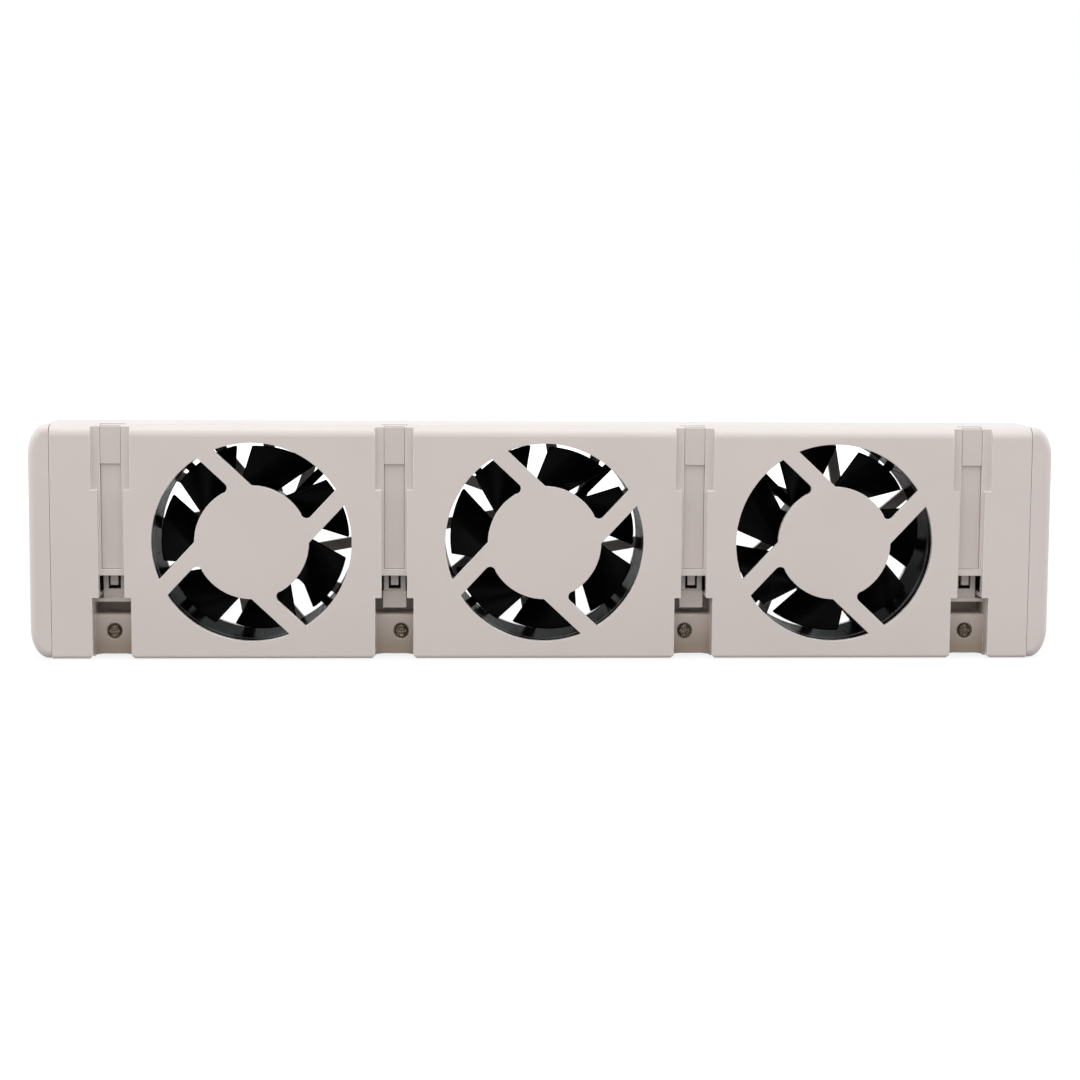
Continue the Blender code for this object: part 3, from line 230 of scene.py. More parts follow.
# Fineness
ARRIS = 0.00016
FINE_ARRIS = 0.00008
BLADE_ARRIS = BLADE_THICKNESS / 5
ARRIS_STEPS = 3
FLAT_WEIGHT = 80
ROUND_STEPS = 128
HUB_STEPS = 126
SOCKET_HOLE_STEPS = 64
SCREW_STEPS = 48
POST_STEPS = 40
HOLE_STEPS = 32
BOW_STEPS = 24
CORNER_STEPS = 14
EDGE_STEPS = 10
SMALL_CORNER_STEPS = 8
SPOKE_STEPS = (26, 14)
GRILLE_STEPS = (10, 4)
BLADE_GRID = (22, 18)
MERGE = 0.000002
FACING = 0.9
FLAT = math.radians(0.4)
SHARP = math.radians(35)
SMOOTH = math.radians(34)

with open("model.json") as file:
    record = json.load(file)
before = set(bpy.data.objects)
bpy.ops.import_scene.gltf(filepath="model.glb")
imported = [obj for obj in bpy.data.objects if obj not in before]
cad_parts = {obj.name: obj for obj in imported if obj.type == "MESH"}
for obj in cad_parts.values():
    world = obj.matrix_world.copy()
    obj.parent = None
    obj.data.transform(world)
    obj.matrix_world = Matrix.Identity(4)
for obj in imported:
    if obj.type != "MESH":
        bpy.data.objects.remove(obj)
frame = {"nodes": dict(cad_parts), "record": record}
cad_low, cad_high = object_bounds()
nodes = frame["nodes"]
body_of = {node: body for body, group in frame["record"]["behaviour"]["bodies"].items() for node in group}
slot_of = {entry["node"]: entry["material_slot"] for entry in frame["record"]["subparts"]}
CHANNELS = [sum(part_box(f"magnet_arm_{n}"), Vector()).x / 2 for n in (1, 2, 3, 4)]
SCREWS = [sum(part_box(f"cover_screw_{n}"), Vector()).xz / 2 for n in (1, 2, 3, 4)]


# Camera, light and floor

def make_camera():
    """A camera at the photograph's place and angle."""
    data = bpy.data.cameras.new("camera")
    data.lens = CAMERA_LENS
    data.sensor_width = CAMERA_SENSOR
    data.clip_start = CAMERA_NEAR
    camera = in_scene("camera", data)
    turn = Euler((math.pi / 2 - CAMERA_PITCH, 0, -CAMERA_YAW), "XYZ").to_matrix()
    roll = Matrix.Rotation(CAMERA_ROLL, 3, "Z")
    camera.matrix_world = Matrix.Translation(CAMERA_PLACE) @ (turn @ roll).to_4x4()
    bpy.context.scene.camera = camera


def soft_lamp(name, place, size, power, tone):
    """A broad lamp that looks at the middle of the bar."""
    data = bpy.data.lights.new(name, "AREA")
    data.shape = "RECTANGLE"
    data.size, data.size_y = size
    data.energy = power
    data.color = tone
    lamp = in_scene(name, data)
    middle = (cad_low + cad_high) / 2
    lamp.location = place
    lamp.rotation_euler = (middle - Vector(place)).to_track_quat("-Z", "Y").to_euler()


def link(tree, source, target):
    """Joins two sockets."""
    tree.links.new(source, target)


def node_in(tree, kind, **values):
    """A shader node with these settings."""
    made = tree.nodes.new(kind)
    for name, value in values.items():
        setattr(made, name, value)
    return made


def mixed_shaders(tree, share, first, second, end):
    """A share of the second shader over the first, led to the end node."""
    mix = node_in(tree, "ShaderNodeMixShader")
    for socket, source in zip(mix.inputs, (share, first, second)):
        link(tree, source, socket)
    link(tree, mix.outputs[0], tree.nodes[end].inputs[0])


def make_room():
    """A studio: warm and dim in front of the bar, cool and bright around it, white where it is looked at."""
    world = bpy.data.worlds.new("studio")
    bpy.context.scene.world = world
    world.use_nodes = True
    tree = world.node_tree
    lit = tree.nodes["Background"]
    place = node_in(tree, "ShaderNodeTexCoord")
    apart = node_in(tree, "ShaderNodeSeparateXYZ")
    link(tree, place.outputs["Generated"], apart.inputs["Vector"])
    behind = remap(tree, apart.outputs["Y"], *ROOM_TURNS, ROOM_FRONT, ROOM_BACK)
    aside = math_of(tree, "ABSOLUTE", apart.outputs["X"], 0.0)
    sides = remap(tree, aside, *ROOM_SIDE_TURNS, 0.0, ROOM_SIDES)
    link(tree, math_of(tree, "ADD", behind, sides), lit.inputs["Strength"])
    cool = remap(tree, apart.outputs["Y"], *ROOM_TONE_TURNS)
    link(tree, blended(tree, cool, ROOM_FRONT_TONE, ROOM_BACK_TONE), lit.inputs["Color"])
    white = node_in(tree, "ShaderNodeBackground")
    white.inputs["Color"].default_value = (1, 1, 1, 1)
    path = node_in(tree, "ShaderNodeLightPath")
    mixed_shaders(tree, path.outputs["Is Camera Ray"], lit.outputs[0], white.outputs[0], "World Output")


def make_floor():
    """A pale floor that keeps the bar's shadow and fades to white away from it."""
    bpy.ops.mesh.primitive_plane_add(size=FLOOR_SIZE, location=(0, 0, cad_low.z - FLOOR_DROP))
    floor = bpy.context.object
    floor.name = "floor"
    paint = bpy.data.materials.new("floor_paint")
    paint.use_nodes = True
    tree = paint.node_tree
    shader = tree.nodes["Principled BSDF"]
    shader.inputs["Base Color"].default_value = (FLOOR_PAINT, FLOOR_PAINT, FLOOR_PAINT, 1)
    shader.inputs["Roughness"].default_value = FLOOR_ROUGHNESS
    path = node_in(tree, "ShaderNodeLightPath")
    seen = math_of(tree, "MAXIMUM", path.outputs["Is Camera Ray"], path.outputs["Is Glossy Ray"])
    seen = math_of(tree, "MAXIMUM", seen, path.outputs["Is Transmission Ray"])
    place = node_in(tree, "ShaderNodeTexCoord")
    away = node_in(tree, "ShaderNodeVectorMath", operation="LENGTH")
    link(tree, place.outputs["Object"], away.inputs[0])
    fading = remap(tree, away.outputs["Value"], FLOOR_NEAR, FLOOR_FAR, FLOOR_SHARE_NEAR, 1.0)
    glow = node_in(tree, "ShaderNodeEmission")
    glow.inputs["Strength"].default_value = FLOOR_OWN_LIGHT
    share = math_of(tree, "MULTIPLY", fading, seen)
    mixed_shaders(tree, share, shader.outputs[0], glow.outputs[0], "Material Output")
    floor.data.materials.append(paint)


# Effects that several finishes share

def effect(name, numbers, outputs):
    """An empty shader node group that takes a Vector and these numbers, and puts out these values."""
    group = bpy.data.node_groups.new(name, "ShaderNodeTree")
    group.interface.new_socket("Vector", in_out="INPUT", socket_type="NodeSocketVector")
    for label, value in numbers.items():
        socket = group.interface.new_socket(label, in_out="INPUT", socket_type="NodeSocketFloat")
        socket.default_value = value
    for label in outputs:
        group.interface.new_socket(label, in_out="OUTPUT", socket_type="NodeSocketFloat")
    return group, group.nodes.new("NodeGroupInput"), group.nodes.new("NodeGroupOutput")


def noise(tree, vector, scale, detail=3.0, roughness=0.5):
    """A noise value on this vector; scale is a number or a socket."""
    made = node_in(tree, "ShaderNodeTexNoise")
    made.inputs["Detail"].default_value = detail
    made.inputs["Roughness"].default_value = roughness
    link(tree, vector, made.inputs["Vector"])
    if isinstance(scale, float):
        made.inputs["Scale"].default_value = scale
    else:
        link(tree, scale, made.inputs["Scale"])
    return made.outputs["Fac"]


def remap(tree, value, low, high, new_low=0.0, new_high=1.0):
    """A value carried from one range to another, held inside it."""
    made = node_in(tree, "ShaderNodeMapRange")
    made.inputs["From Min"].default_value = low
    made.inputs["From Max"].default_value = high
    made.inputs["To Min"].default_value = new_low
    made.inputs["To Max"].default_value = new_high
    link(tree, value, made.inputs["Value"])
    return made.outputs["Result"]


def math_of(tree, operation, first, second):
    """A sum, product or the like of a socket with a socket or number."""
    made = node_in(tree, "ShaderNodeMath", operation=operation)
    link(tree, first, made.inputs[0])
    if isinstance(second, float):
        made.inputs[1].default_value = second
    else:
        link(tree, second, made.inputs[1])
    return made.outputs[0]


def moulded_skin():
    """Skin of a moulding: spark-eroded grain, waves left by cooling, and patches rubbed smoother."""
    scales = {"Grain Scale": GRAIN_SCALE, "Wave Scale": WAVE_SCALE}
    group, given, made = effect("moulded_skin", scales, ("Height", "Waves", "Polish"))
    vector = given.outputs["Vector"]
    grain = noise(group, vector, given.outputs["Grain Scale"], detail=4.0, roughness=0.65)
    waves = noise(group, vector, given.outputs["Wave Scale"], detail=2.0, roughness=0.4)
    polish = noise(group, vector, POLISH_SCALE, detail=4.0, roughness=0.6)
    wave_height = math_of(group, "MULTIPLY", waves, WAVE_HEIGHT)
    link(group, math_of(group, "ADD", grain, wave_height), made.inputs["Height"])
    link(group, waves, made.inputs["Waves"])
    link(group, remap(group, polish, *NOISE_RANGE), made.inputs["Polish"])
    return group


def edge_wear():
    """Arrises rubbed by hands and packing: strongest along the edge and broken up by noise."""
    group, given, made = effect("edge_wear", {"Edge": 0.0, "Break Scale": WEAR_SCALE}, ("Wear",))
    patches = noise(group, given.outputs["Vector"], given.outputs["Break Scale"], detail=4.0, roughness=0.6)
    amount = remap(group, patches, *WEAR_BREAKS, WEAR_LEAST, 1.0)
    link(group, math_of(group, "MULTIPLY", amount, given.outputs["Edge"]), made.inputs["Wear"])
    return group


def fine_marks():
    """Hair scratches in two directions and drawn or turned lines, for metal and glossy skins."""
    group, given, made = effect("fine_marks", {"Line Scale": LINE_SCALE}, ("Lines", "Scratches"))
    vector = given.outputs["Vector"]
    lines = noise(group, vector, given.outputs["Line Scale"], detail=5.0, roughness=0.65)
    hairs = []
    for turn in SCRATCH_TURNS:
        mapping = node_in(group, "ShaderNodeMapping")
        mapping.inputs["Rotation"].default_value = (turn, turn, turn)
        mapping.inputs["Scale"].default_value = (1.0, SCRATCH_STRETCH, 1.0)
        link(group, vector, mapping.inputs["Vector"])
        hair = noise(group, mapping.outputs["Vector"], SCRATCH_SCALE, detail=2.0)
        hairs.append(remap(group, hair, *SCRATCH_RANGE))
    link(group, lines, made.inputs["Lines"])
    link(group, math_of(group, "MAXIMUM", *hairs), made.inputs["Scratches"])
    return group


SKIN = moulded_skin()
WEAR = edge_wear()
MARKS = fine_marks()


def placed_effect(tree, group, vector, **values):
    """One of the shared effects, placed in a material with its own values."""
    made = node_in(tree, "ShaderNodeGroup", node_tree=group)
    link(tree, vector, made.inputs["Vector"])
    for label, value in values.items():
        made.inputs[label.replace("_", " ")].default_value = value
    return made


def new_finish(name):
    """An empty finish with its shader and its Object coordinates."""
    made = bpy.data.materials.new(name)
    made.use_nodes = True
    tree = made.node_tree
    place = node_in(tree, "ShaderNodeTexCoord")
    return made, tree, tree.nodes["Principled BSDF"], place.outputs["Object"]


def blended(tree, factor, first, second):
    """A colour between two, which are colours or sockets."""
    made = node_in(tree, "ShaderNodeMix", data_type="RGBA")
    link(tree, factor, made.inputs[0])
    for socket, colour in zip((made.inputs[6], made.inputs[7]), (first, second)):
        if isinstance(colour, tuple):
            socket.default_value = (*colour, 1)
        else:
            link(tree, colour, socket)
    return made.outputs[2]


def worn_edge(tree, vector, scale=WEAR_SCALE):
    """How worn this spot of an arris is, from the piece's own edge attribute."""
    edge = node_in(tree, "ShaderNodeAttribute", attribute_name="edge")
    wear = placed_effect(tree, WEAR, vector, Break_Scale=scale)
    link(tree, edge.outputs["Fac"], wear.inputs["Edge"])
    return wear.outputs["Wear"]


def bumped(tree, shader, height, distance, strength=0.5):
    """Fine relief on the surface."""
    bump = node_in(tree, "ShaderNodeBump")
    bump.inputs["Strength"].default_value = strength
    bump.inputs["Distance"].default_value = distance
    link(tree, height, bump.inputs["Height"])
    link(tree, bump.outputs["Normal"], shader.inputs["Normal"])


def painted_pocket_shade(tree, vector):
    """How much painted shade this spot takes, deep in a pocket and low on a screw shelf."""
    apart = node_in(tree, "ShaderNodeSeparateXYZ")
    link(tree, vector, apart.inputs["Vector"])
    across, deep, up = (apart.outputs[axis] for axis in "XYZ")
    face = cad_low.y
    shelf = face + SHELF_DEPTH
    back = face + POCKET_DEPTH
    aside = [math_of(tree, "ABSOLUTE", math_of(tree, "SUBTRACT", across, x), 0.0) for x in CHANNELS]
    outer = math_of(tree, "MINIMUM", aside[0], aside[3])
    inner = math_of(tree, "MINIMUM", aside[1], aside[2])
    nearest = math_of(tree, "MINIMUM", outer, inner)
    limits = (math_of(tree, "LESS_THAN", nearest, RECESS_WIDTH / 2 + ARRIS),
              math_of(tree, "LESS_THAN", up, POCKET[1]),
              math_of(tree, "GREATER_THAN", up, cad_low.z + MERGE),
              math_of(tree, "LESS_THAN", deep, back + CHANNEL_SIDE / 2),
              remap(tree, deep, face + ARRIS, shelf))
    low = remap(tree, up, *POCKET_SHADE_LEVELS, 1.0, POCKET_SHADE_HIGH)
    low = math_of(tree, "MULTIPLY", low, math_of(tree, "LESS_THAN", up, POCKET[0] + ARRIS))
    inside = remap(tree, deep, shelf + SHELF_EDGE, shelf + 3 * SHELF_EDGE, 0.0, POCKET_SHADE_INSIDE)
    inside = math_of(tree, "MULTIPLY", inside, math_of(tree, "LESS_THAN", outer, RECESS_WIDTH))
    amount = math_of(tree, "MAXIMUM", low, inside)
    for limit in limits:
        amount = math_of(tree, "MULTIPLY", amount, limit)
    return amount


def moulded_plastic(name, pale, deep, worn, rough, grain=GRAIN_SCALE, relief=0.000012, pocket_shade=False):
    """Moulded plastic between two close tones, paler and smoother along its arrises."""
    made, tree, shader, vector = new_finish(name)
    skin = placed_effect(tree, SKIN, vector, Grain_Scale=grain)
    wear = worn_edge(tree, vector)
    tone = blended(tree, remap(tree, skin.outputs["Waves"], *NOISE_RANGE), pale, deep)
    # Painted shade: the pockets and the low part of the screw shelves are darkened in the colour itself
    if pocket_shade:
        shade_tone = tuple(part * share for part, share in zip(pale, POCKET_SHADE_TONE))
        tone = blended(tree, painted_pocket_shade(tree, vector), tone, shade_tone)
    link(tree, blended(tree, wear, tone, worn), shader.inputs["Base Color"])
    sheen = remap(tree, skin.outputs["Polish"], 0.0, 1.0, rough[1], rough[0])
    rubbed = math_of(tree, "MULTIPLY", wear, WORN_SMOOTHER)
    link(tree, math_of(tree, "SUBTRACT", sheen, rubbed), shader.inputs["Roughness"])
    bumped(tree, shader, skin.outputs["Height"], relief)
    return made


def marked_metal(name, pale, deep, rough, stretch=(1.0, 1.0, 1.0)):
    """Metal with drawn or turned lines along one direction, hair scratches, and bright arrises that are
    partly worn metal and partly a painted glint.
    """
    made, tree, shader, vector = new_finish(name)
    shader.inputs["Metallic"].default_value = 1.0
    mapping = node_in(tree, "ShaderNodeMapping")
    mapping.inputs["Scale"].default_value = stretch
    link(tree, vector, mapping.inputs["Vector"])
    marks = placed_effect(tree, MARKS, mapping.outputs["Vector"])
    lines = remap(tree, marks.outputs["Lines"], *NOISE_RANGE)
    tone = blended(tree, lines, pale, deep)
    marked = blended(tree, marks.outputs["Scratches"], tone, pale)
    # Bright arrises: worn metal, and on the screws' cross partly a painted glint
    bright = tuple(min(1.0, WORN_AND_GLINT_BRIGHT * part) for part in pale)
    link(tree, blended(tree, worn_edge(tree, vector), marked, bright), shader.inputs["Base Color"])
    link(tree, remap(tree, lines, 0.0, 1.0, *rough), shader.inputs["Roughness"])
    bumped(tree, shader, lines, distance=0.000006, strength=0.4)
    return made


def painted_sheen_ring(tree, vector, ring, waves):
    """How much painted sheen a duct takes here: most in the middle of a ring at one depth, in broken
    stretches.
    """
    middle, half_width = ring
    apart = node_in(tree, "ShaderNodeSeparateXYZ")
    link(tree, vector, apart.inputs["Vector"])
    away = math_of(tree, "ABSOLUTE", math_of(tree, "SUBTRACT", apart.outputs["Y"], middle), 0.0)
    # The rubbed share here is painted sheen, strongest at the band's middle
    rubbed = remap(tree, away, 0.0, half_width, 1.0, 0.0)
    return math_of(tree, "MULTIPLY", rubbed, remap(tree, waves, *SHEEN_BREAKS, SHEEN_LEAST, 1.0))


def glossy_black(name, rough, level, ring=None):
    """The fans' black plastic: glossy with faint smears, greyer along its edges, and with a painted sheen
    ring where one is given.
    """
    made, tree, shader, vector = new_finish(name)
    shader.inputs["Specular IOR Level"].default_value = level
    skin = placed_effect(tree, SKIN, vector, Grain_Scale=5200.0, Wave_Scale=90.0)
    marks = placed_effect(tree, MARKS, vector, Line_Scale=240.0)
    wear = worn_edge(tree, vector, scale=420.0)
    waves = skin.outputs["Waves"]
    tone = blended(tree, waves, FAN_BLACK, FAN_BLACK_SMEARED)
    if ring:
        # Painted sheen: a paler band round the duct stands in for its glossy reflection
        tone = blended(tree, painted_sheen_ring(tree, vector, ring, waves), tone, SHEEN_TONE)
    link(tree, blended(tree, wear, tone, FAN_BLACK_WORN), shader.inputs["Base Color"])
    smear = remap(tree, marks.outputs["Lines"], *SMEAR_RANGE, *rough)
    dull = math_of(tree, "MULTIPLY", marks.outputs["Scratches"], SCRATCH_DULLER)
    link(tree, math_of(tree, "ADD", smear, dull), shader.inputs["Roughness"])
    bumped(tree, shader, skin.outputs["Height"], distance=0.000004, strength=0.35)
    return made


def solder_mask():
    """Circuit board: green mask over copper tracks."""
    made, tree, shader, vector = new_finish("board_laminate")
    bright_green = (0.012, 0.13, 0.05)
    deep_green = (0.010, 0.09, 0.04)
    over_copper = (0.05, 0.24, 0.07)
    rough = (0.22, 0.38)
    skin = placed_effect(tree, SKIN, vector, Grain_Scale=1500.0)
    cells = node_in(tree, "ShaderNodeTexBrick", offset=0.5)
    cells.inputs["Scale"].default_value = 420.0
    cells.inputs["Mortar Size"].default_value = 0.06
    mapping = node_in(tree, "ShaderNodeMapping")
    mapping.inputs["Rotation"].default_value = (0, math.pi / 2, 0)
    link(tree, vector, mapping.inputs["Vector"])
    link(tree, mapping.outputs["Vector"], cells.inputs["Vector"])
    mask = blended(tree, skin.outputs["Waves"], bright_green, deep_green)
    tracks = remap(tree, cells.outputs["Fac"], 0.0, 1.0)
    link(tree, blended(tree, tracks, mask, over_copper), shader.inputs["Base Color"])
    link(tree, remap(tree, skin.outputs["Polish"], 0.0, 1.0, *rough), shader.inputs["Roughness"])
    bumped(tree, shader, tracks, distance=0.00003, strength=0.6)
    return made


def wound_copper():
    """Enamelled wire: fine turns side by side with dark lines between them."""
    made, tree, shader, vector = new_finish("copper_wire")
    shader.inputs["Metallic"].default_value = 1.0
    between_turns = (0.20, 0.07, 0.03)
    enamel = (0.72, 0.33, 0.16)
    rough = (0.5, 0.26)
    turns = node_in(tree, "ShaderNodeTexWave", wave_type="BANDS", bands_direction="DIAGONAL")
    turns.inputs["Scale"].default_value = 900.0
    turns.inputs["Distortion"].default_value = 0.6
    link(tree, vector, turns.inputs["Vector"])
    round_turn = remap(tree, turns.outputs["Fac"], 0.0, 0.5)
    link(tree, blended(tree, round_turn, between_turns, enamel), shader.inputs["Base Color"])
    link(tree, remap(tree, round_turn, 0.0, 1.0, *rough), shader.inputs["Roughness"])
    bumped(tree, shader, turns.outputs["Fac"], distance=0.00006, strength=0.8)
    return made


def stacked_steel():
    """Motor core: thin sheets stacked along the shaft, each with a dark oxide edge."""
    made, tree, shader, vector = new_finish("core_steel")
    shader.inputs["Metallic"].default_value = 0.9
    oxide = (0.05, 0.045, 0.05)
    pale_steel = (0.36, 0.36, 0.37)
    deep_steel = (0.26, 0.26, 0.28)
    rough = (0.32, 0.5)
    sheets = node_in(tree, "ShaderNodeTexWave", wave_type="BANDS", bands_direction="Y", wave_profile="SAW")
    sheets.inputs["Scale"].default_value = 620.0
    link(tree, vector, sheets.inputs["Vector"])
    edge = remap(tree, sheets.outputs["Fac"], 0.0, 0.2)
    skin = placed_effect(tree, SKIN, vector, Grain_Scale=1800.0)
    steel = blended(tree, skin.outputs["Polish"], pale_steel, deep_steel)
    link(tree, blended(tree, edge, oxide, steel), shader.inputs["Base Color"])
    link(tree, remap(tree, skin.outputs["Polish"], 0.0, 1.0, *rough), shader.inputs["Roughness"])
    bumped(tree, shader, sheets.outputs["Fac"], distance=0.00003, strength=0.6)
    return made


FINISHES = {
    "off_white_plastic": moulded_plastic(
        "off_white_plastic", pale=(0.670, 0.604, 0.578), deep=(0.646, 0.582, 0.556),
        worn=(0.78, 0.74, 0.71), rough=(0.30, 0.40), pocket_shade=True),
    "arm_plastic": moulded_plastic(
        "arm_plastic", pale=(0.642, 0.574, 0.543), deep=(0.618, 0.551, 0.520),
        worn=(0.76, 0.72, 0.68), rough=(0.34, 0.44)),
    "fan_black_plastic": glossy_black("fan_black_plastic", rough=(0.18, 0.32), level=0.03),
    "socket_black_plastic": moulded_plastic(
        "socket_black_plastic", pale=(0.012, 0.012, 0.013), deep=(0.018, 0.018, 0.018),
        worn=(0.05, 0.05, 0.05), rough=(0.32, 0.48)),
    "lead_sleeve": moulded_plastic(
        "lead_sleeve", pale=(0.014, 0.014, 0.015), deep=(0.022, 0.022, 0.022),
        worn=(0.05, 0.05, 0.05), rough=(0.38, 0.52)),
    "board_laminate": solder_mask(),
    "ring_ferrite": moulded_plastic(
        "ring_ferrite", pale=(0.045, 0.043, 0.043), deep=(0.065, 0.060, 0.058),
        worn=(0.10, 0.10, 0.10), rough=(0.6, 0.78), grain=1500.0, relief=0.00003),
    "screw_metal": marked_metal(
        "screw_metal", pale=(0.115, 0.092, 0.068), deep=(0.05, 0.040, 0.030), rough=(0.2, 0.36)),
    "magnet_nickel": marked_metal(
        "magnet_nickel", pale=(0.66, 0.64, 0.60), deep=(0.54, 0.52, 0.49), rough=(0.14, 0.28)),
    "shaft_steel": marked_metal(
        "shaft_steel", pale=(0.62, 0.62, 0.63), deep=(0.50, 0.50, 0.51), rough=(0.18, 0.32),
        stretch=(1, 8, 1)),
    "bearing_bronze": marked_metal(
        "bearing_bronze", pale=(0.58, 0.38, 0.19), deep=(0.40, 0.25, 0.12), rough=(0.34, 0.5)),
    "core_steel": stacked_steel(),
    "copper_wire": wound_copper(),
}

DUCT_BLACK = glossy_black("duct_black_plastic", rough=(0.20, 0.27), level=0.001, ring=DUCT_SHEEN_RING)


# Ways of working

def only(made):
    """Selects this object alone."""
    bpy.ops.object.select_all(action="DESELECT")
    made.select_set(True)
    bpy.context.view_layer.objects.active = made


def kept(made, name):
    """Gives the finished modifier to the mesh."""
    only(made)
    bpy.ops.object.modifier_apply(modifier=name)


def in_scene(name, data):
    """A new object in the scene."""
    made = bpy.data.objects.new(name, data)
    bpy.context.scene.collection.objects.link(made)
    return made


def from_outline(name, points, edges, faces):
    """A new object drawn from an outline."""
    mesh = bpy.data.meshes.new(name)
    mesh.from_pydata([Vector(point) for point in points], edges, faces)
    return in_scene(name, mesh)


def open_whole(made):
    """Enters edit mode with all of this object selected."""
    only(made)
    bpy.ops.object.mode_set(mode="EDIT")
    bpy.ops.mesh.select_all(action="SELECT")


def close_mesh():
    """Leaves edit mode."""
    bpy.ops.object.mode_set(mode="OBJECT")


def pick_none(made, kind):
    """Leaves the object ready to have some of its faces or edges picked."""
    only(made)
    bpy.ops.object.mode_set(mode="EDIT")
    bpy.ops.mesh.select_mode(type=kind)
    bpy.ops.mesh.select_all(action="DESELECT")
    close_mesh()


def pick_faces(made, wanted):
    """Selects the faces that a test on their middle and normal wants, and enters edit mode."""
    pick_none(made, "FACE")
    for face in made.data.polygons:
        face.select = wanted(face.center, face.normal)
    bpy.ops.object.mode_set(mode="EDIT")


def pick_edges(made, wanted):
    """Selects the edges that a test on their two ends wants, and enters edit mode."""
    pick_none(made, "EDGE")
    corners = made.data.vertices
    for edge in made.data.edges:
        first, second = (corners[k].co for k in edge.vertices)
        edge.select = wanted(first, second)
    bpy.ops.object.mode_set(mode="EDIT")


def extruded(name, outlines, near, far, along="Y"):
    """A solid from flat outlines; along X an outline's points are (y, z), along Y they are (x, z)."""
    points = []
    faces = []
    for outline in outlines:
        faces.append(tuple(range(len(points), len(points) + len(outline))))
        points += [(near, *point) if along == "X" else (point[0], near, point[1]) for point in outline]
    made = from_outline(name, points, [], faces)
    open_whole(made)
    push = (far - near, 0, 0) if along == "X" else (0, far - near, 0)
    bpy.ops.mesh.extrude_region_move(TRANSFORM_OT_translate={"value": push})
    bpy.ops.mesh.select_all(action="SELECT")
    bpy.ops.mesh.normals_make_consistent(inside=False)
    close_mesh()
    return made


def spun(name, profile, centre, steps=ROUND_STEPS):
    """A turned solid; the profile's points are (radius, y) about the fan's axis."""
    points = [(centre.x + radius, depth, centre.z) for radius, depth in profile]
    edges = [(k, k + 1) for k in range(len(points) - 1)]
    made = from_outline(name, points, edges, [])
    open_whole(made)
    bpy.ops.mesh.spin(steps=steps, angle=math.tau, center=centre, axis=(0, 1, 0))
    bpy.ops.mesh.select_all(action="SELECT")
    bpy.ops.mesh.remove_doubles(threshold=MERGE)
    bpy.ops.mesh.normals_make_consistent(inside=False)
    close_mesh()
    return made


def block(name, x, y, z):
    """A straight block between these pairs of limits."""
    size = (x[1] - x[0], y[1] - y[0], z[1] - z[0])
    bpy.ops.mesh.primitive_cube_add(size=1, location=[sum(pair) / 2 for pair in (x, y, z)], scale=size)
    made = bpy.context.object
    made.name = name
    bpy.ops.object.transform_apply(location=True, rotation=True, scale=True)
    return made


def combine(made, tool, operation):
    """Joins, cuts or keeps what is common, then takes the tool away."""
    step = made.modifiers.new("step", "BOOLEAN")
    step.operation = operation
    step.object = tool
    kept(made, "step")
    bpy.data.objects.remove(tool)


def cleaned(made):
    """Merges what booleans leave: doubled points and split flats."""
    open_whole(made)
    bpy.ops.mesh.remove_doubles(threshold=MERGE)
    bpy.ops.mesh.dissolve_limited(angle_limit=FLAT)
    close_mesh()


def mark_arrises(made):
    """Keeps how far inside an arris each corner lies as the piece's own edge attribute."""
    worn = [0] * len(made.data.vertices)
    plain = [0] * len(made.data.vertices)
    for face in made.data.polygons:
        count = worn if face.material_index else plain
        for corner in face.vertices:
            count[corner] += 1
        face.material_index = 0
    marks = made.data.attributes.new("edge", "FLOAT", "POINT")
    for corner, (inside, outside) in enumerate(zip(worn, plain)):
        marks.data[corner].value = 1.0 if inside and not outside else 0.0


def soft_arrises(made, width=ARRIS):
    """Rounds every sharp edge as a mould leaves it, and shades the flats flat and the rounds round."""
    made.data.materials.clear()
    made.data.materials.append(None)
    made.data.materials.append(None)
    bevel = made.modifiers.new("arris", "BEVEL")
    bevel.limit_method = "ANGLE"
    bevel.angle_limit = SHARP
    bevel.width = width
    bevel.segments = ARRIS_STEPS
    bevel.use_clamp_overlap = False
    bevel.material = 1
    kept(made, "arris")
    mark_arrises(made)
    bpy.ops.object.shade_smooth_by_angle(angle=SMOOTH)
    weighted = made.modifiers.new("flats", "WEIGHTED_NORMAL")
    weighted.keep_sharp = True
    weighted.weight = FLAT_WEIGHT
    kept(made, "flats")
    return made


def stands_for(made, node):
    """The piece takes the node's place, body, slot and finish."""
    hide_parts(node)
    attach(made, body_of[node])
    made.data.materials.clear()
    made.data.materials.append(FINISHES[slot_of[node]])
    return made


def copied(made, name, move=None, turn=0.0):
    """A copy with its own mesh, turned about the Y axis and then moved."""
    copy = in_scene(name, made.data.copy())
    if turn:
        copy.data.transform(Matrix.Rotation(-turn, 4, "Y"))
    if move:
        copy.data.transform(Matrix.Translation(move))
    return copy


def merged_copy(node, name):
    """A node's surface as one merged mesh of its own."""
    made = in_scene(name, nodes[node].data.copy())
    cleaned(made)
    return made


# Outlines

def on_circle(radius, angle, centre=(0, 0)):
    """The point at this angle, counted from +X toward +Z."""
    return (centre[0] + radius * math.cos(angle), centre[1] + radius * math.sin(angle))


def arc(radius, start, end, steps, centre=(0, 0), up=None):
    """Points along an arc; up gives an ellipse its second radius."""
    tall = radius if up is None else up
    angles = [start + (end - start) * k / steps for k in range(steps + 1)]
    return [(centre[0] + radius * math.cos(a), centre[1] + tall * math.sin(a)) for a in angles]


def circle(radius, steps=ROUND_STEPS, centre=(0, 0)):
    """A closed round outline."""
    return [on_circle(radius, math.tau * k / steps, centre) for k in range(steps)]


def rounds(radius, steps, places):
    """Round outlines of one size, one about each of the places."""
    return [circle(radius, steps, place) for place in places]


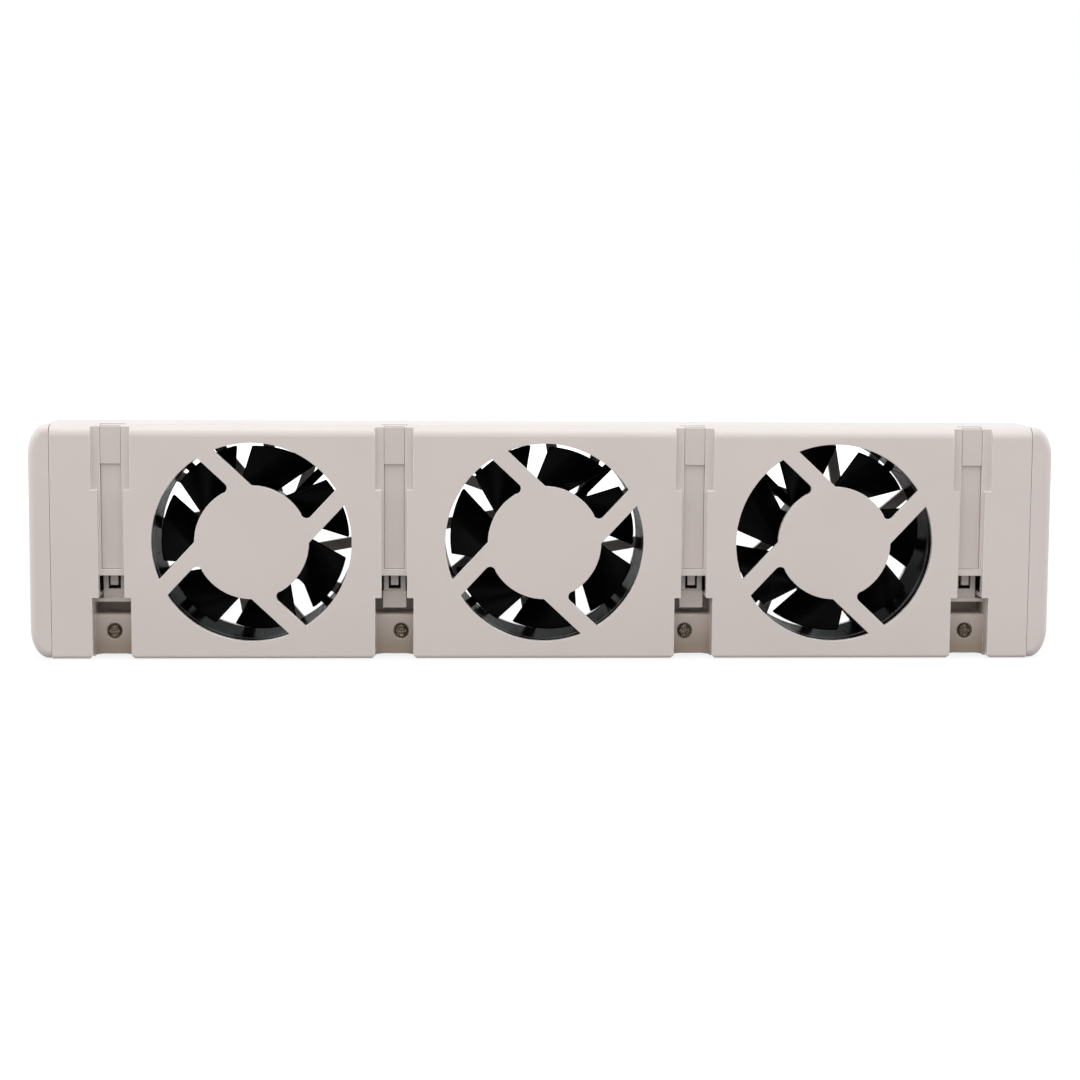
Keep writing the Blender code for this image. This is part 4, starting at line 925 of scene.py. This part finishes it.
def rounded_rectangle(low, high, radii, steps=CORNER_STEPS):
    """An outline with rounded corners, from the lower left one round; 0 is a sharp corner."""
    corners = ((low[0], low[1], 1, 1, 180), (high[0], low[1], -1, 1, 270),
               (high[0], high[1], -1, -1, 0), (low[0], high[1], 1, -1, 90))
    points = []
    for (across, up, inward, upward, start), radius in zip(corners, radii):
        if not radius:
            points.append((across, up))
            continue
        wide, tall = radius if isinstance(radius, tuple) else (radius, radius)
        centre = (across + inward * wide, up + upward * tall)
        points += arc(wide, math.radians(start), math.radians(start + 90), steps, centre, tall)
    return points


def rounded_corner(before, corner, after, radius, steps=SMALL_CORNER_STEPS):
    """Points of an arc of this radius in the corner between two straight sides."""
    corner = Vector(corner)
    first = (Vector(before) - corner).normalized()
    second = (Vector(after) - corner).normalized()
    half = first.angle(second) / 2
    centre = corner + (first + second).normalized() * (radius / math.sin(half))
    start = corner + first * (radius / math.tan(half)) - centre
    end = corner + second * (radius / math.tan(half)) - centre
    from_angle = math.atan2(start.y, start.x)
    sweep = (math.atan2(end.y, end.x) - from_angle + math.pi) % math.tau - math.pi
    return arc(radius, from_angle, from_angle + sweep, steps, centre)


def pinwheel_opening(centre, turn, inner, outer, near, far, step, fineness, corner=0.0):
    """One opening between two bars whose middle lines pass beside the centre."""
    outside = arc(outer, turn - math.asin(near / outer), turn + step - math.asin(far / outer),
                  fineness[0], centre)
    inside = arc(inner, turn + step - math.asin(far / inner), turn - math.asin(near / inner),
                 fineness[1], centre)
    if corner:
        inside_corner = rounded_corner(inside[-4], inside[-1], outside[0], corner)
        while math.dist(inside[-1], inside_corner[-1]) < math.dist(inside_corner[0], inside_corner[-1]):
            inside.pop()
        inside += inside_corner
    return outside + inside


# Covers

def middle_of(node):
    """The middle of a node's box."""
    low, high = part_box(node)
    return (low + high) / 2


FAN_CENTRES = [middle_of(f"fan_frame_{n}") for n in (1, 2, 3)]


def beside(centres, width, levels):
    """Upright rectangles of this width between two levels, one about each of the centres."""
    return [rounded_rectangle((x - width / 2, levels[0]), (x + width / 2, levels[1]), (0, 0, 0, 0))
            for x in centres]


def grown(made, outlines, near, far):
    """The outlines, drawn out from near to far, joined on."""
    combine(made, extruded("grown", outlines, near, far), "UNION")


def carved(made, outlines, near, far):
    """The outlines, drawn out from near to far, cut out."""
    combine(made, extruded("carved", outlines, near, far), "DIFFERENCE")


def channel_backs(made, face, top):
    """Behind each channel: its floor, the arm's guide, the shelf's block and the pocket's walls."""
    embed = face + WALL / 2
    inside = top - WALL + GAP
    whole = RECESS_WIDTH + 2 * CHANNEL_SIDE
    guide = ARM_GUIDE + 2 * GUIDE_WALL
    flange_back = face + RECESS_DEPTH + CHANNEL_FLOOR + GAP + ARM_FLANGE
    head_back = face + RECESS_DEPTH + ARM_HEAD_DEPTH
    grown(made, beside(CHANNELS, whole, (WALL / 2, inside)), embed, face + RECESS_DEPTH + CHANNEL_FLOOR)
    grown(made, beside(CHANNELS, guide, (CROSS_BAR[0] + GAP, inside)), embed, flange_back + GAP + GUIDE_WALL)
    grown(made, beside(CHANNELS, guide, (ARM_HEAD_LOWER - GUIDE_WALL, inside)),
          embed, head_back + GAP + GUIDE_WALL)
    grown(made, beside(CHANNELS, whole, (WALL / 2, POCKET[0])), embed, face + SHELF_DEPTH + SHELF_THICKNESS)
    grown(made, beside(CHANNELS, whole, (POCKET[0] - CHANNEL_SIDE, POCKET[1] + CHANNEL_SIDE)),
          embed, face + POCKET_DEPTH + CHANNEL_SIDE)


def channel_hollows(made, face, top):
    """Each channel's recess, run, arm slot and guide, and the window above its pocket."""
    outside = face - WALL
    above = top + WALL
    floor = face + RECESS_DEPTH
    back = floor + CHANNEL_FLOOR
    carved(made, beside(CHANNELS, RECESS_WIDTH, (top - RECESS_HEIGHT, above)), outside, floor)
    carved(made, beside(CHANNELS, CHANNEL_WIDTH, (POCKET[0], above)), outside, floor)
    carved(made, beside(CHANNELS, ARM_SLOT, (CROSS_BAR[1], above)), outside, back + GAP / 2)
    carved(made, beside(CHANNELS, ARM_GUIDE, (CROSS_BAR[1], above)), back, back + 2 * GAP + ARM_FLANGE)
    carved(made, beside(CHANNELS, ARM_GUIDE, (ARM_HEAD_LOWER - GAP, above)),
           back, floor + ARM_HEAD_DEPTH + GAP)
    carved(made, beside(CHANNELS, CHANNEL_WIDTH, (POCKET[1] - GAP, CROSS_BAR[0])),
           outside, face + PLATE_DEPTH + PLATE_THICKNESS - GAP / 2)


def screw_shelves(made, face):
    """The pocket, the round-edged shelf below it and the scoop in the bar's lower edge, at each channel."""
    shelf = face + SHELF_DEPTH
    behind = shelf + SHELF_THICKNESS + WALL
    edge_centre = (shelf + SHELF_EDGE, POCKET[0] - SHELF_EDGE)
    shelf_round = arc(SHELF_EDGE, math.pi, math.pi / 2, EDGE_STEPS, edge_centre)
    pocket_back = face + POCKET_DEPTH
    side = [(face - WALL, -WALL), (shelf, -WALL), *shelf_round, (pocket_back, POCKET[0]),
            (pocket_back, POCKET[1]), (face - WALL, POCKET[1])]
    half_width = RECESS_WIDTH / 2
    shelves = [extruded("shelf", [side], x - half_width, x + half_width, along="X") for x in CHANNELS]
    only(shelves[0])
    for tool in shelves:
        tool.select_set(True)
    bpy.ops.object.join()
    combine(made, shelves[0], "DIFFERENCE")
    bow_rise = SHELF_SCOOP - 2 * ARRIS
    radius = (half_width ** 2 + bow_rise ** 2) / (2 * bow_rise)
    half = math.asin(half_width / radius)
    scoops = []
    corners = []
    for x in CHANNELS:
        bow = arc(radius, math.pi / 2 - half, math.pi / 2 + half, BOW_STEPS, (x, SHELF_SCOOP - radius))
        scoops.append([*bow, (x - half_width, -WALL), (x + half_width, -WALL)])
        for way in (-1, 1):
            wall = x + way * half_width
            corners.append([(wall + way * 2 * SHELF_CORNER, -SHELF_CORNER),
                            (wall - way * SHELF_CORNER, -SHELF_CORNER),
                            (wall - way * SHELF_CORNER, 2 * SHELF_CORNER)])
    carved(made, scoops, shelf - GAP, behind)
    carved(made, corners, face - WALL, shelf)
    carved(made, rounds(SCREW_SINK_RADIUS, SCREW_STEPS, SCREWS), shelf - WALL, shelf + SCREW_SINK_DEPTH)
    carved(made, rounds(POST_HOLE_RADIUS, HOLE_STEPS, SCREWS), shelf, behind)


def latch_plates(made, face):
    """The plate at the foot of each channel with its latch; inner ones end in a tongue, outer in a lip."""
    near = face + PLATE_DEPTH
    far = near + PLATE_THICKNESS
    outer = (CHANNELS[0], CHANNELS[3])
    inner = (CHANNELS[1], CHANNELS[2])
    upper = CROSS_BAR[1] + GUIDE_WALL
    plates = [*beside(outer, PLATE_WIDTH, (LIP[0], upper)), *beside(inner, PLATE_WIDTH, (TONGUE[0], upper))]
    ends = [*beside(outer, RECESS_WIDTH + CHANNEL_SIDE, (LIP[0] - GAP, LIP[1])),
            *beside(inner, TONGUE_WIDTH, (TONGUE[0] - GAP, TONGUE[1]))]
    grown(made, plates, near, far)
    grown(made, ends, near - LIP_STEP, far - GAP)
    carved(made, beside(CHANNELS, LATCH_SLOT_WIDTH, (LATCH_SLOT_LOWER, CROSS_BAR[0] + GAP)),
           near - WALL, far + PLATE_STANDING)
    grown(made, beside(CHANNELS, LATCH_WIDTH, (LATCH_LOWER, CROSS_BAR[1])), near - LATCH_STANDING, far - GAP)


def fan_seats(made, face, rear, top):
    """Ribs under and over each fan frame, and two pins that stand in its corner holes."""
    frame_low, frame_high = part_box("fan_frame_2")
    middles = [centre.x + way * SEAT_RIB_SPACING / 2 for centre in FAN_CENTRES for way in (-1, 1)]
    ribs = [*beside(middles, SEAT_RIB_WIDTH, (WALL / 2, frame_low.z - GAP)),
            *beside(middles, SEAT_RIB_WIDTH, (frame_high.z + GAP, top - WALL + GAP))]
    grown(made, ribs, face + WALL - GAP, frame_low.y + FLANGE_THICKNESS - GAP)
    grown(made, ribs, frame_high.y - FLANGE_THICKNESS, rear - GAP)
    places = [(centre.x + reach, centre.z - reach)
              for centre in FAN_CENTRES for reach in (-FRAME_HOLE_REACH, FRAME_HOLE_REACH)]
    grown(made, rounds(PIN_RADIUS, HOLE_STEPS, places), face + WALL / 2, face + WALL + PIN_LENGTH)


def front_cover():
    """The front moulding: a box open to the rear, with its channels, shelves and pinwheel openings."""
    low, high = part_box("front_cover")
    face = low.y
    section = rounded_rectangle((face, low.z), (high.y, high.z), (LOWER_EDGE_RADIUS, 0, 0, TOP_EDGE_RADIUS))
    made = extruded("front_cover_moulding", [section], low.x, high.x, along="X")
    hollow = block("hollow", (low.x - WALL, high.x + WALL), (face + WALL, high.y + WALL),
                   (low.z + WALL, high.z - WALL))
    combine(made, hollow, "DIFFERENCE")
    channel_backs(made, face, high.z)
    channel_hollows(made, face, high.z)
    screw_shelves(made, face)
    latch_plates(made, face)
    fan_seats(made, face, high.y, high.z)
    step = math.tau / SPOKE_COUNT
    outlines = [pinwheel_opening((centre.x, centre.z), SPOKE_ANGLE + k * step, FACE_HUB_RADIUS,
                                 OPENING_RADIUS, SPOKE_OFFSET, SPOKE_OFFSET + SPOKE_WIDTH, step,
                                 SPOKE_STEPS, SPOKE_CORNER)
                for centre in FAN_CENTRES for k in range(SPOKE_COUNT)]
    carved(made, outlines, face - WALL, face + WALL + GAP)
    cleaned(made)
    # The inner floor runs round every rib and shelf, so it is split into simple faces
    pick_faces(made, lambda middle, normal: abs(middle.z - WALL) < MERGE and normal.z > FACING)
    bpy.ops.mesh.vert_connect_concave()
    close_mesh()
    stands_for(soft_arrises(made), "front_cover")


def rear_cover():
    """The rear tray with its swirl grilles, and the four posts that take the screws."""
    low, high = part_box("rear_cover")
    face = high.y
    seam = face - REAR_COVER_DEPTH + GAP / 2
    section = rounded_rectangle((seam, low.z), (face, high.z), (0, REAR_EDGE_RADIUS, REAR_EDGE_RADIUS, 0))
    made = extruded("rear_cover_moulding", [section], low.x, high.x, along="X")
    hollow = block("hollow", (low.x - WALL, high.x + WALL), (seam - WALL, face - WALL),
                   (low.z + WALL, high.z - WALL))
    combine(made, hollow, "DIFFERENCE")
    step = math.tau / GRILLE_BARS
    outlines = [pinwheel_opening((centre.x, centre.z), GRILLE_ANGLE + k * step, GRILLE_HUB_RADIUS,
                                 OPENING_RADIUS, GRILLE_OFFSET, GRILLE_OFFSET + GRILLE_BAR_WIDTH, step,
                                 GRILLE_STEPS)
                for centre in FAN_CENTRES for k in range(GRILLE_BARS)]
    carved(made, outlines, face - WALL - GAP, face + WALL)
    screw_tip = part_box("cover_screw_1")[1].y
    grown(made, rounds(POST_RADIUS, POST_STEPS, SCREWS), low.y, face - WALL / 2)
    carved(made, rounds(POST_HOLE_RADIUS, HOLE_STEPS, SCREWS), low.y - WALL, screw_tip + POST_HOLE_ROOM)
    cleaned(made)
    stands_for(soft_arrises(made), "rear_cover")


def end_cap(node, side):
    """An end cap with round corners and a round edge toward the outside."""
    seam = abs(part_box("front_cover")[0].x) + CAP_SEAM
    outer = cad_high.x

    def outline(inset, inner):
        corner = (CAP_CORNER[0] - inset, CAP_CORNER[1] - inset)
        bottom, top = cad_low.z + inset, cad_high.z - inset
        ends = sorted((side * inner, side * (outer - inset)))
        radii = (0, corner, corner, 0) if side > 0 else (corner, 0, 0, corner)
        return rounded_rectangle((ends[0], bottom), (ends[1], top), radii)

    made = extruded(f"{node}_moulding", [outline(0, seam)], cad_low.y, cad_high.y)

    def outside_rim(first, second):
        flat = abs(first.y - second.y) < MERGE
        at_seam = max(abs(first.x), abs(second.x)) < seam + MERGE
        return flat and not at_seam

    pick_edges(made, outside_rim)
    bpy.ops.mesh.bevel(offset=CAP_EDGE, segments=EDGE_STEPS, affect="EDGES", clamp_overlap=False)
    close_mesh()
    hollow = extruded("hollow", [outline(CAP_WALL, seam - WALL)], cad_low.y + CAP_WALL, cad_high.y - CAP_WALL)
    combine(made, hollow, "DIFFERENCE")
    along = sorted((side * (seam - CAP_TAB_REACH), side * (seam + CAP_TAB_REACH / 2)))
    inside = cad_low.y + WALL + GAP
    middle = (cad_low.z + cad_high.z) / 2
    for depth in ((inside, inside + CAP_TAB_THICKNESS), (-inside - CAP_TAB_THICKNESS, -inside)):
        for way in (-1, 1):
            level = middle + way * CAP_TAB_SPACING / 2
            tab = block("tab", along, depth, (level - CAP_TAB_WIDTH / 2, level + CAP_TAB_WIDTH / 2))
            combine(made, tab, "UNION")
    ends = sorted((side * (seam + CAP_TAB_REACH / 2), side * (outer + WALL)))
    hole = extruded("hole", [circle(SOCKET_HOLE_RADIUS, SOCKET_HOLE_STEPS, (0, middle))], *ends, along="X")
    combine(made, hole, "DIFFERENCE")
    cleaned(made)
    stands_for(soft_arrises(made, FINE_ARRIS), node)


# Fans

def fan_frame():
    """The square frame with its round duct, made once at the middle fan."""
    centre = FAN_CENTRES[1]
    low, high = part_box("fan_frame_2")
    half = (high.x - low.x) / 2
    around = (centre.x, centre.z)
    corners = (around[0] - half, around[1] - half), (around[0] + half, around[1] + half)
    square = rounded_rectangle(*corners, [FLANGE_CORNER] * 4, SMALL_CORNER_STEPS)
    made = extruded("fan_frame", [square], low.y, low.y + FLANGE_THICKNESS)
    combine(made, extruded("rear_flange", [square], high.y - FLANGE_THICKNESS, high.y), "UNION")
    duct = extruded("duct", [circle(DUCT_RADIUS + DUCT_WALL, centre=around)], low.y + GAP, high.y - GAP)
    combine(made, duct, "UNION")
    mouth = DUCT_RADIUS + DUCT_MOUTH
    bore = [(0, low.y - WALL), (mouth, low.y - WALL), (mouth, low.y), (DUCT_RADIUS, low.y + DUCT_MOUTH),
            (DUCT_RADIUS, high.y + WALL), (0, high.y + WALL)]
    combine(made, spun("bore", bore, centre), "DIFFERENCE")
    reaches = (-FRAME_HOLE_REACH, FRAME_HOLE_REACH)
    places = [(around[0] + x, around[1] + z) for x in reaches for z in reaches]
    carved(made, rounds(FRAME_HOLE_RADIUS, HOLE_STEPS, places), low.y - WALL, high.y + WALL)
    for k in range(STRUT_COUNT):
        strut = block("strut", (BASE_RADIUS - WALL, DUCT_RADIUS + DUCT_WALL / 2),
                      (high.y - STRUT_THICKNESS, high.y - GAP), (-STRUT_WIDTH / 2, STRUT_WIDTH / 2))
        angle = (k + 0.5) * math.tau / STRUT_COUNT
        place = Matrix.Translation((centre.x, 0, centre.z))
        strut.data.transform(place @ Matrix.Rotation(-angle, 4, "Y"))
        combine(made, strut, "UNION")
    outer, inner = BEARING_TUBE
    tube_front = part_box("bearing_2")[0].y - GAP
    base_face = high.y - BASE_THICKNESS
    base = [(0, tube_front), (outer, tube_front), (outer, base_face), (BASE_RADIUS, base_face),
            (BASE_RADIUS, high.y - BASE_INSET), (0, high.y - BASE_INSET)]
    combine(made, spun("base", base, centre), "UNION")
    hole = [(0, tube_front - WALL), (inner, tube_front - WALL), (inner, base_face), (0, base_face)]
    combine(made, spun("bearing_hole", hole, centre, SCREW_STEPS), "DIFFERENCE")
    cleaned(made)
    return soft_arrises(made)


def blade_sheet():
    """One blade as an open sheet at the origin: pitched, swept back and slightly cambered."""
    outward_steps, chord_steps = BLADE_GRID
    bpy.ops.mesh.primitive_grid_add(x_subdivisions=outward_steps, y_subdivisions=chord_steps, size=1)
    made = bpy.context.object
    root = HUB_RADIUS - HUB_WALL / 2
    middle = cad_low.y + BLADE_SETBACK + BLADE_LENGTH / 2
    for vertex in made.data.vertices:
        # The grid is 1 wide about the origin, so outward runs from 0 at the hub to 1 at the tip
        outward = vertex.co.x + 0.5
        chord = vertex.co.y
        at_hub = Vector(on_circle(root, chord * BLADE_SPAN))
        at_tip = Vector(on_circle(BLADE_TIP, chord * BLADE_SPAN - BLADE_SWEEP))
        across, up = at_hub.lerp(at_tip, outward)
        taper = 1 - BLADE_NARROWING * outward
        depth = middle - chord * BLADE_LENGTH * taper - BLADE_CAMBER * math.cos(math.pi * chord)
        vertex.co = (across, depth, up)
    made.data.update()
    return made


def rotor():
    """Hub and seven blades in one moulding, made once about the origin."""
    low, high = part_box("rotor_2")
    front = low.y
    rear = high.y
    inside = HUB_RADIUS - HUB_WALL
    ceiling = front + HUB_FACE
    boss_end = ceiling + BOSS_LENGTH
    edge = arc(HUB_EDGE, 0, -math.pi / 2, SMALL_CORNER_STEPS, (HUB_RADIUS - HUB_EDGE, front + HUB_EDGE))
    profile = [(0, ceiling + GAP), (SHAFT_HOLE, ceiling + GAP), (SHAFT_HOLE, boss_end),
               (BOSS_RADIUS, boss_end), (BOSS_RADIUS, ceiling), (inside, ceiling), (inside, rear),
               (HUB_RADIUS, rear), *edge, (0, front)]
    made = spun("rotor", profile, Vector((0, 0, 0)), HUB_STEPS)
    sheet = blade_sheet()
    solid = sheet.modifiers.new("thickness", "SOLIDIFY")
    solid.thickness = BLADE_THICKNESS
    solid.offset = 0
    kept(sheet, "thickness")
    for k in range(BLADE_COUNT):
        turn = (k + 0.5) * math.tau / BLADE_COUNT + BLADE_SWEEP / 2
        combine(made, copied(sheet, f"blade_{k}", turn=turn), "UNION")
    bpy.data.objects.remove(sheet)
    cleaned(made)
    return soft_arrises(made, BLADE_ARRIS)


def fans():
    """Each fan's frame and rotor, copied to its place."""
    frame_made = fan_frame()
    rotor_made = rotor()
    for n, centre in enumerate(FAN_CENTRES, 1):
        across = Vector((centre.x - FAN_CENTRES[1].x, 0, 0))
        made = stands_for(copied(frame_made, f"frame_moulding_{n}", across), f"fan_frame_{n}")
        made.data.materials[0] = DUCT_BLACK
        place = Vector((centre.x, 0, centre.z))
        made = copied(rotor_made, f"rotor_moulding_{n}", place, ROTOR_TURNS[n - 1])
        stands_for(made, f"rotor_{n}")
    bpy.data.objects.remove(frame_made)
    bpy.data.objects.remove(rotor_made)


# Arms and screws

def magnet_arms():
    """The four sliding arms, grown to a close fit in their slots, with their arrises rounded."""
    for n in (1, 2, 3, 4):
        node = f"magnet_arm_{n}"
        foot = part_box(node)[0].z
        made = merged_copy(node, f"arm_moulding_{n}")
        for side in (-1, 1):
            flank = middle_of(node).x + side * ARM_WIDTH / 2
            pick_faces(made, lambda middle, normal: abs(middle.x - flank) < MERGE and abs(normal.x) > FACING)
            bpy.ops.transform.translate(value=(side * ARM_SPREAD, 0, 0))
            close_mesh()
        pick_faces(made, lambda middle, normal: middle.z < foot + MERGE)
        bpy.ops.transform.translate(value=(0, 0, -ARM_SPREAD))
        close_mesh()
        stands_for(soft_arrises(made, FINE_ARRIS), node)


def cover_screws():
    """Cross-head screws with a domed head and a cross recess."""
    for n in (1, 2, 3, 4):
        node = f"cover_screw_{n}"
        low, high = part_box(node)
        centre = middle_of(node)
        radius = (high.x - low.x) / 2
        seat = low.y + SCREW_HEAD
        dome = arc(radius, 0, -math.pi / 2, EDGE_STEPS, (0, seat - SCREW_RIM), SCREW_DOME)
        profile = [(0, high.y), (SCREW_SHANK / 2, high.y), (SCREW_SHANK, high.y - SCREW_SHANK),
                   (SCREW_SHANK, seat), (radius, seat), *dome]
        made = spun(f"screw_turning_{n}", profile, Vector((centre.x, 0, centre.z)), SCREW_STEPS)
        length, slot, depth = SCREW_CROSS
        for wide, tall in ((length, slot), (slot, length)):
            arm = block("arm", (centre.x - wide / 2, centre.x + wide / 2), (low.y - WALL, low.y + depth),
                        (centre.z - tall / 2, centre.z + tall / 2))
            combine(made, arm, "DIFFERENCE")
        cleaned(made)
        stands_for(soft_arrises(made, SCREW_ARRIS), node)


make_camera()
soft_lamp("key_lamp", KEY_PLACE, KEY_SIZE, KEY_POWER, KEY_TONE)
soft_lamp("fill_lamp", FILL_PLACE, FILL_SIZE, FILL_POWER, FILL_TONE)
make_room()
make_floor()
for node, made in nodes.items():
    made.data.materials.clear()
    made.data.materials.append(FINISHES[slot_of[node]])
front_cover()
rear_cover()
end_cap("left_end_cap", -1)
end_cap("right_end_cap", 1)
fans()
magnet_arms()
cover_screws()

bpy.context.scene.view_settings.view_transform = "Standard"
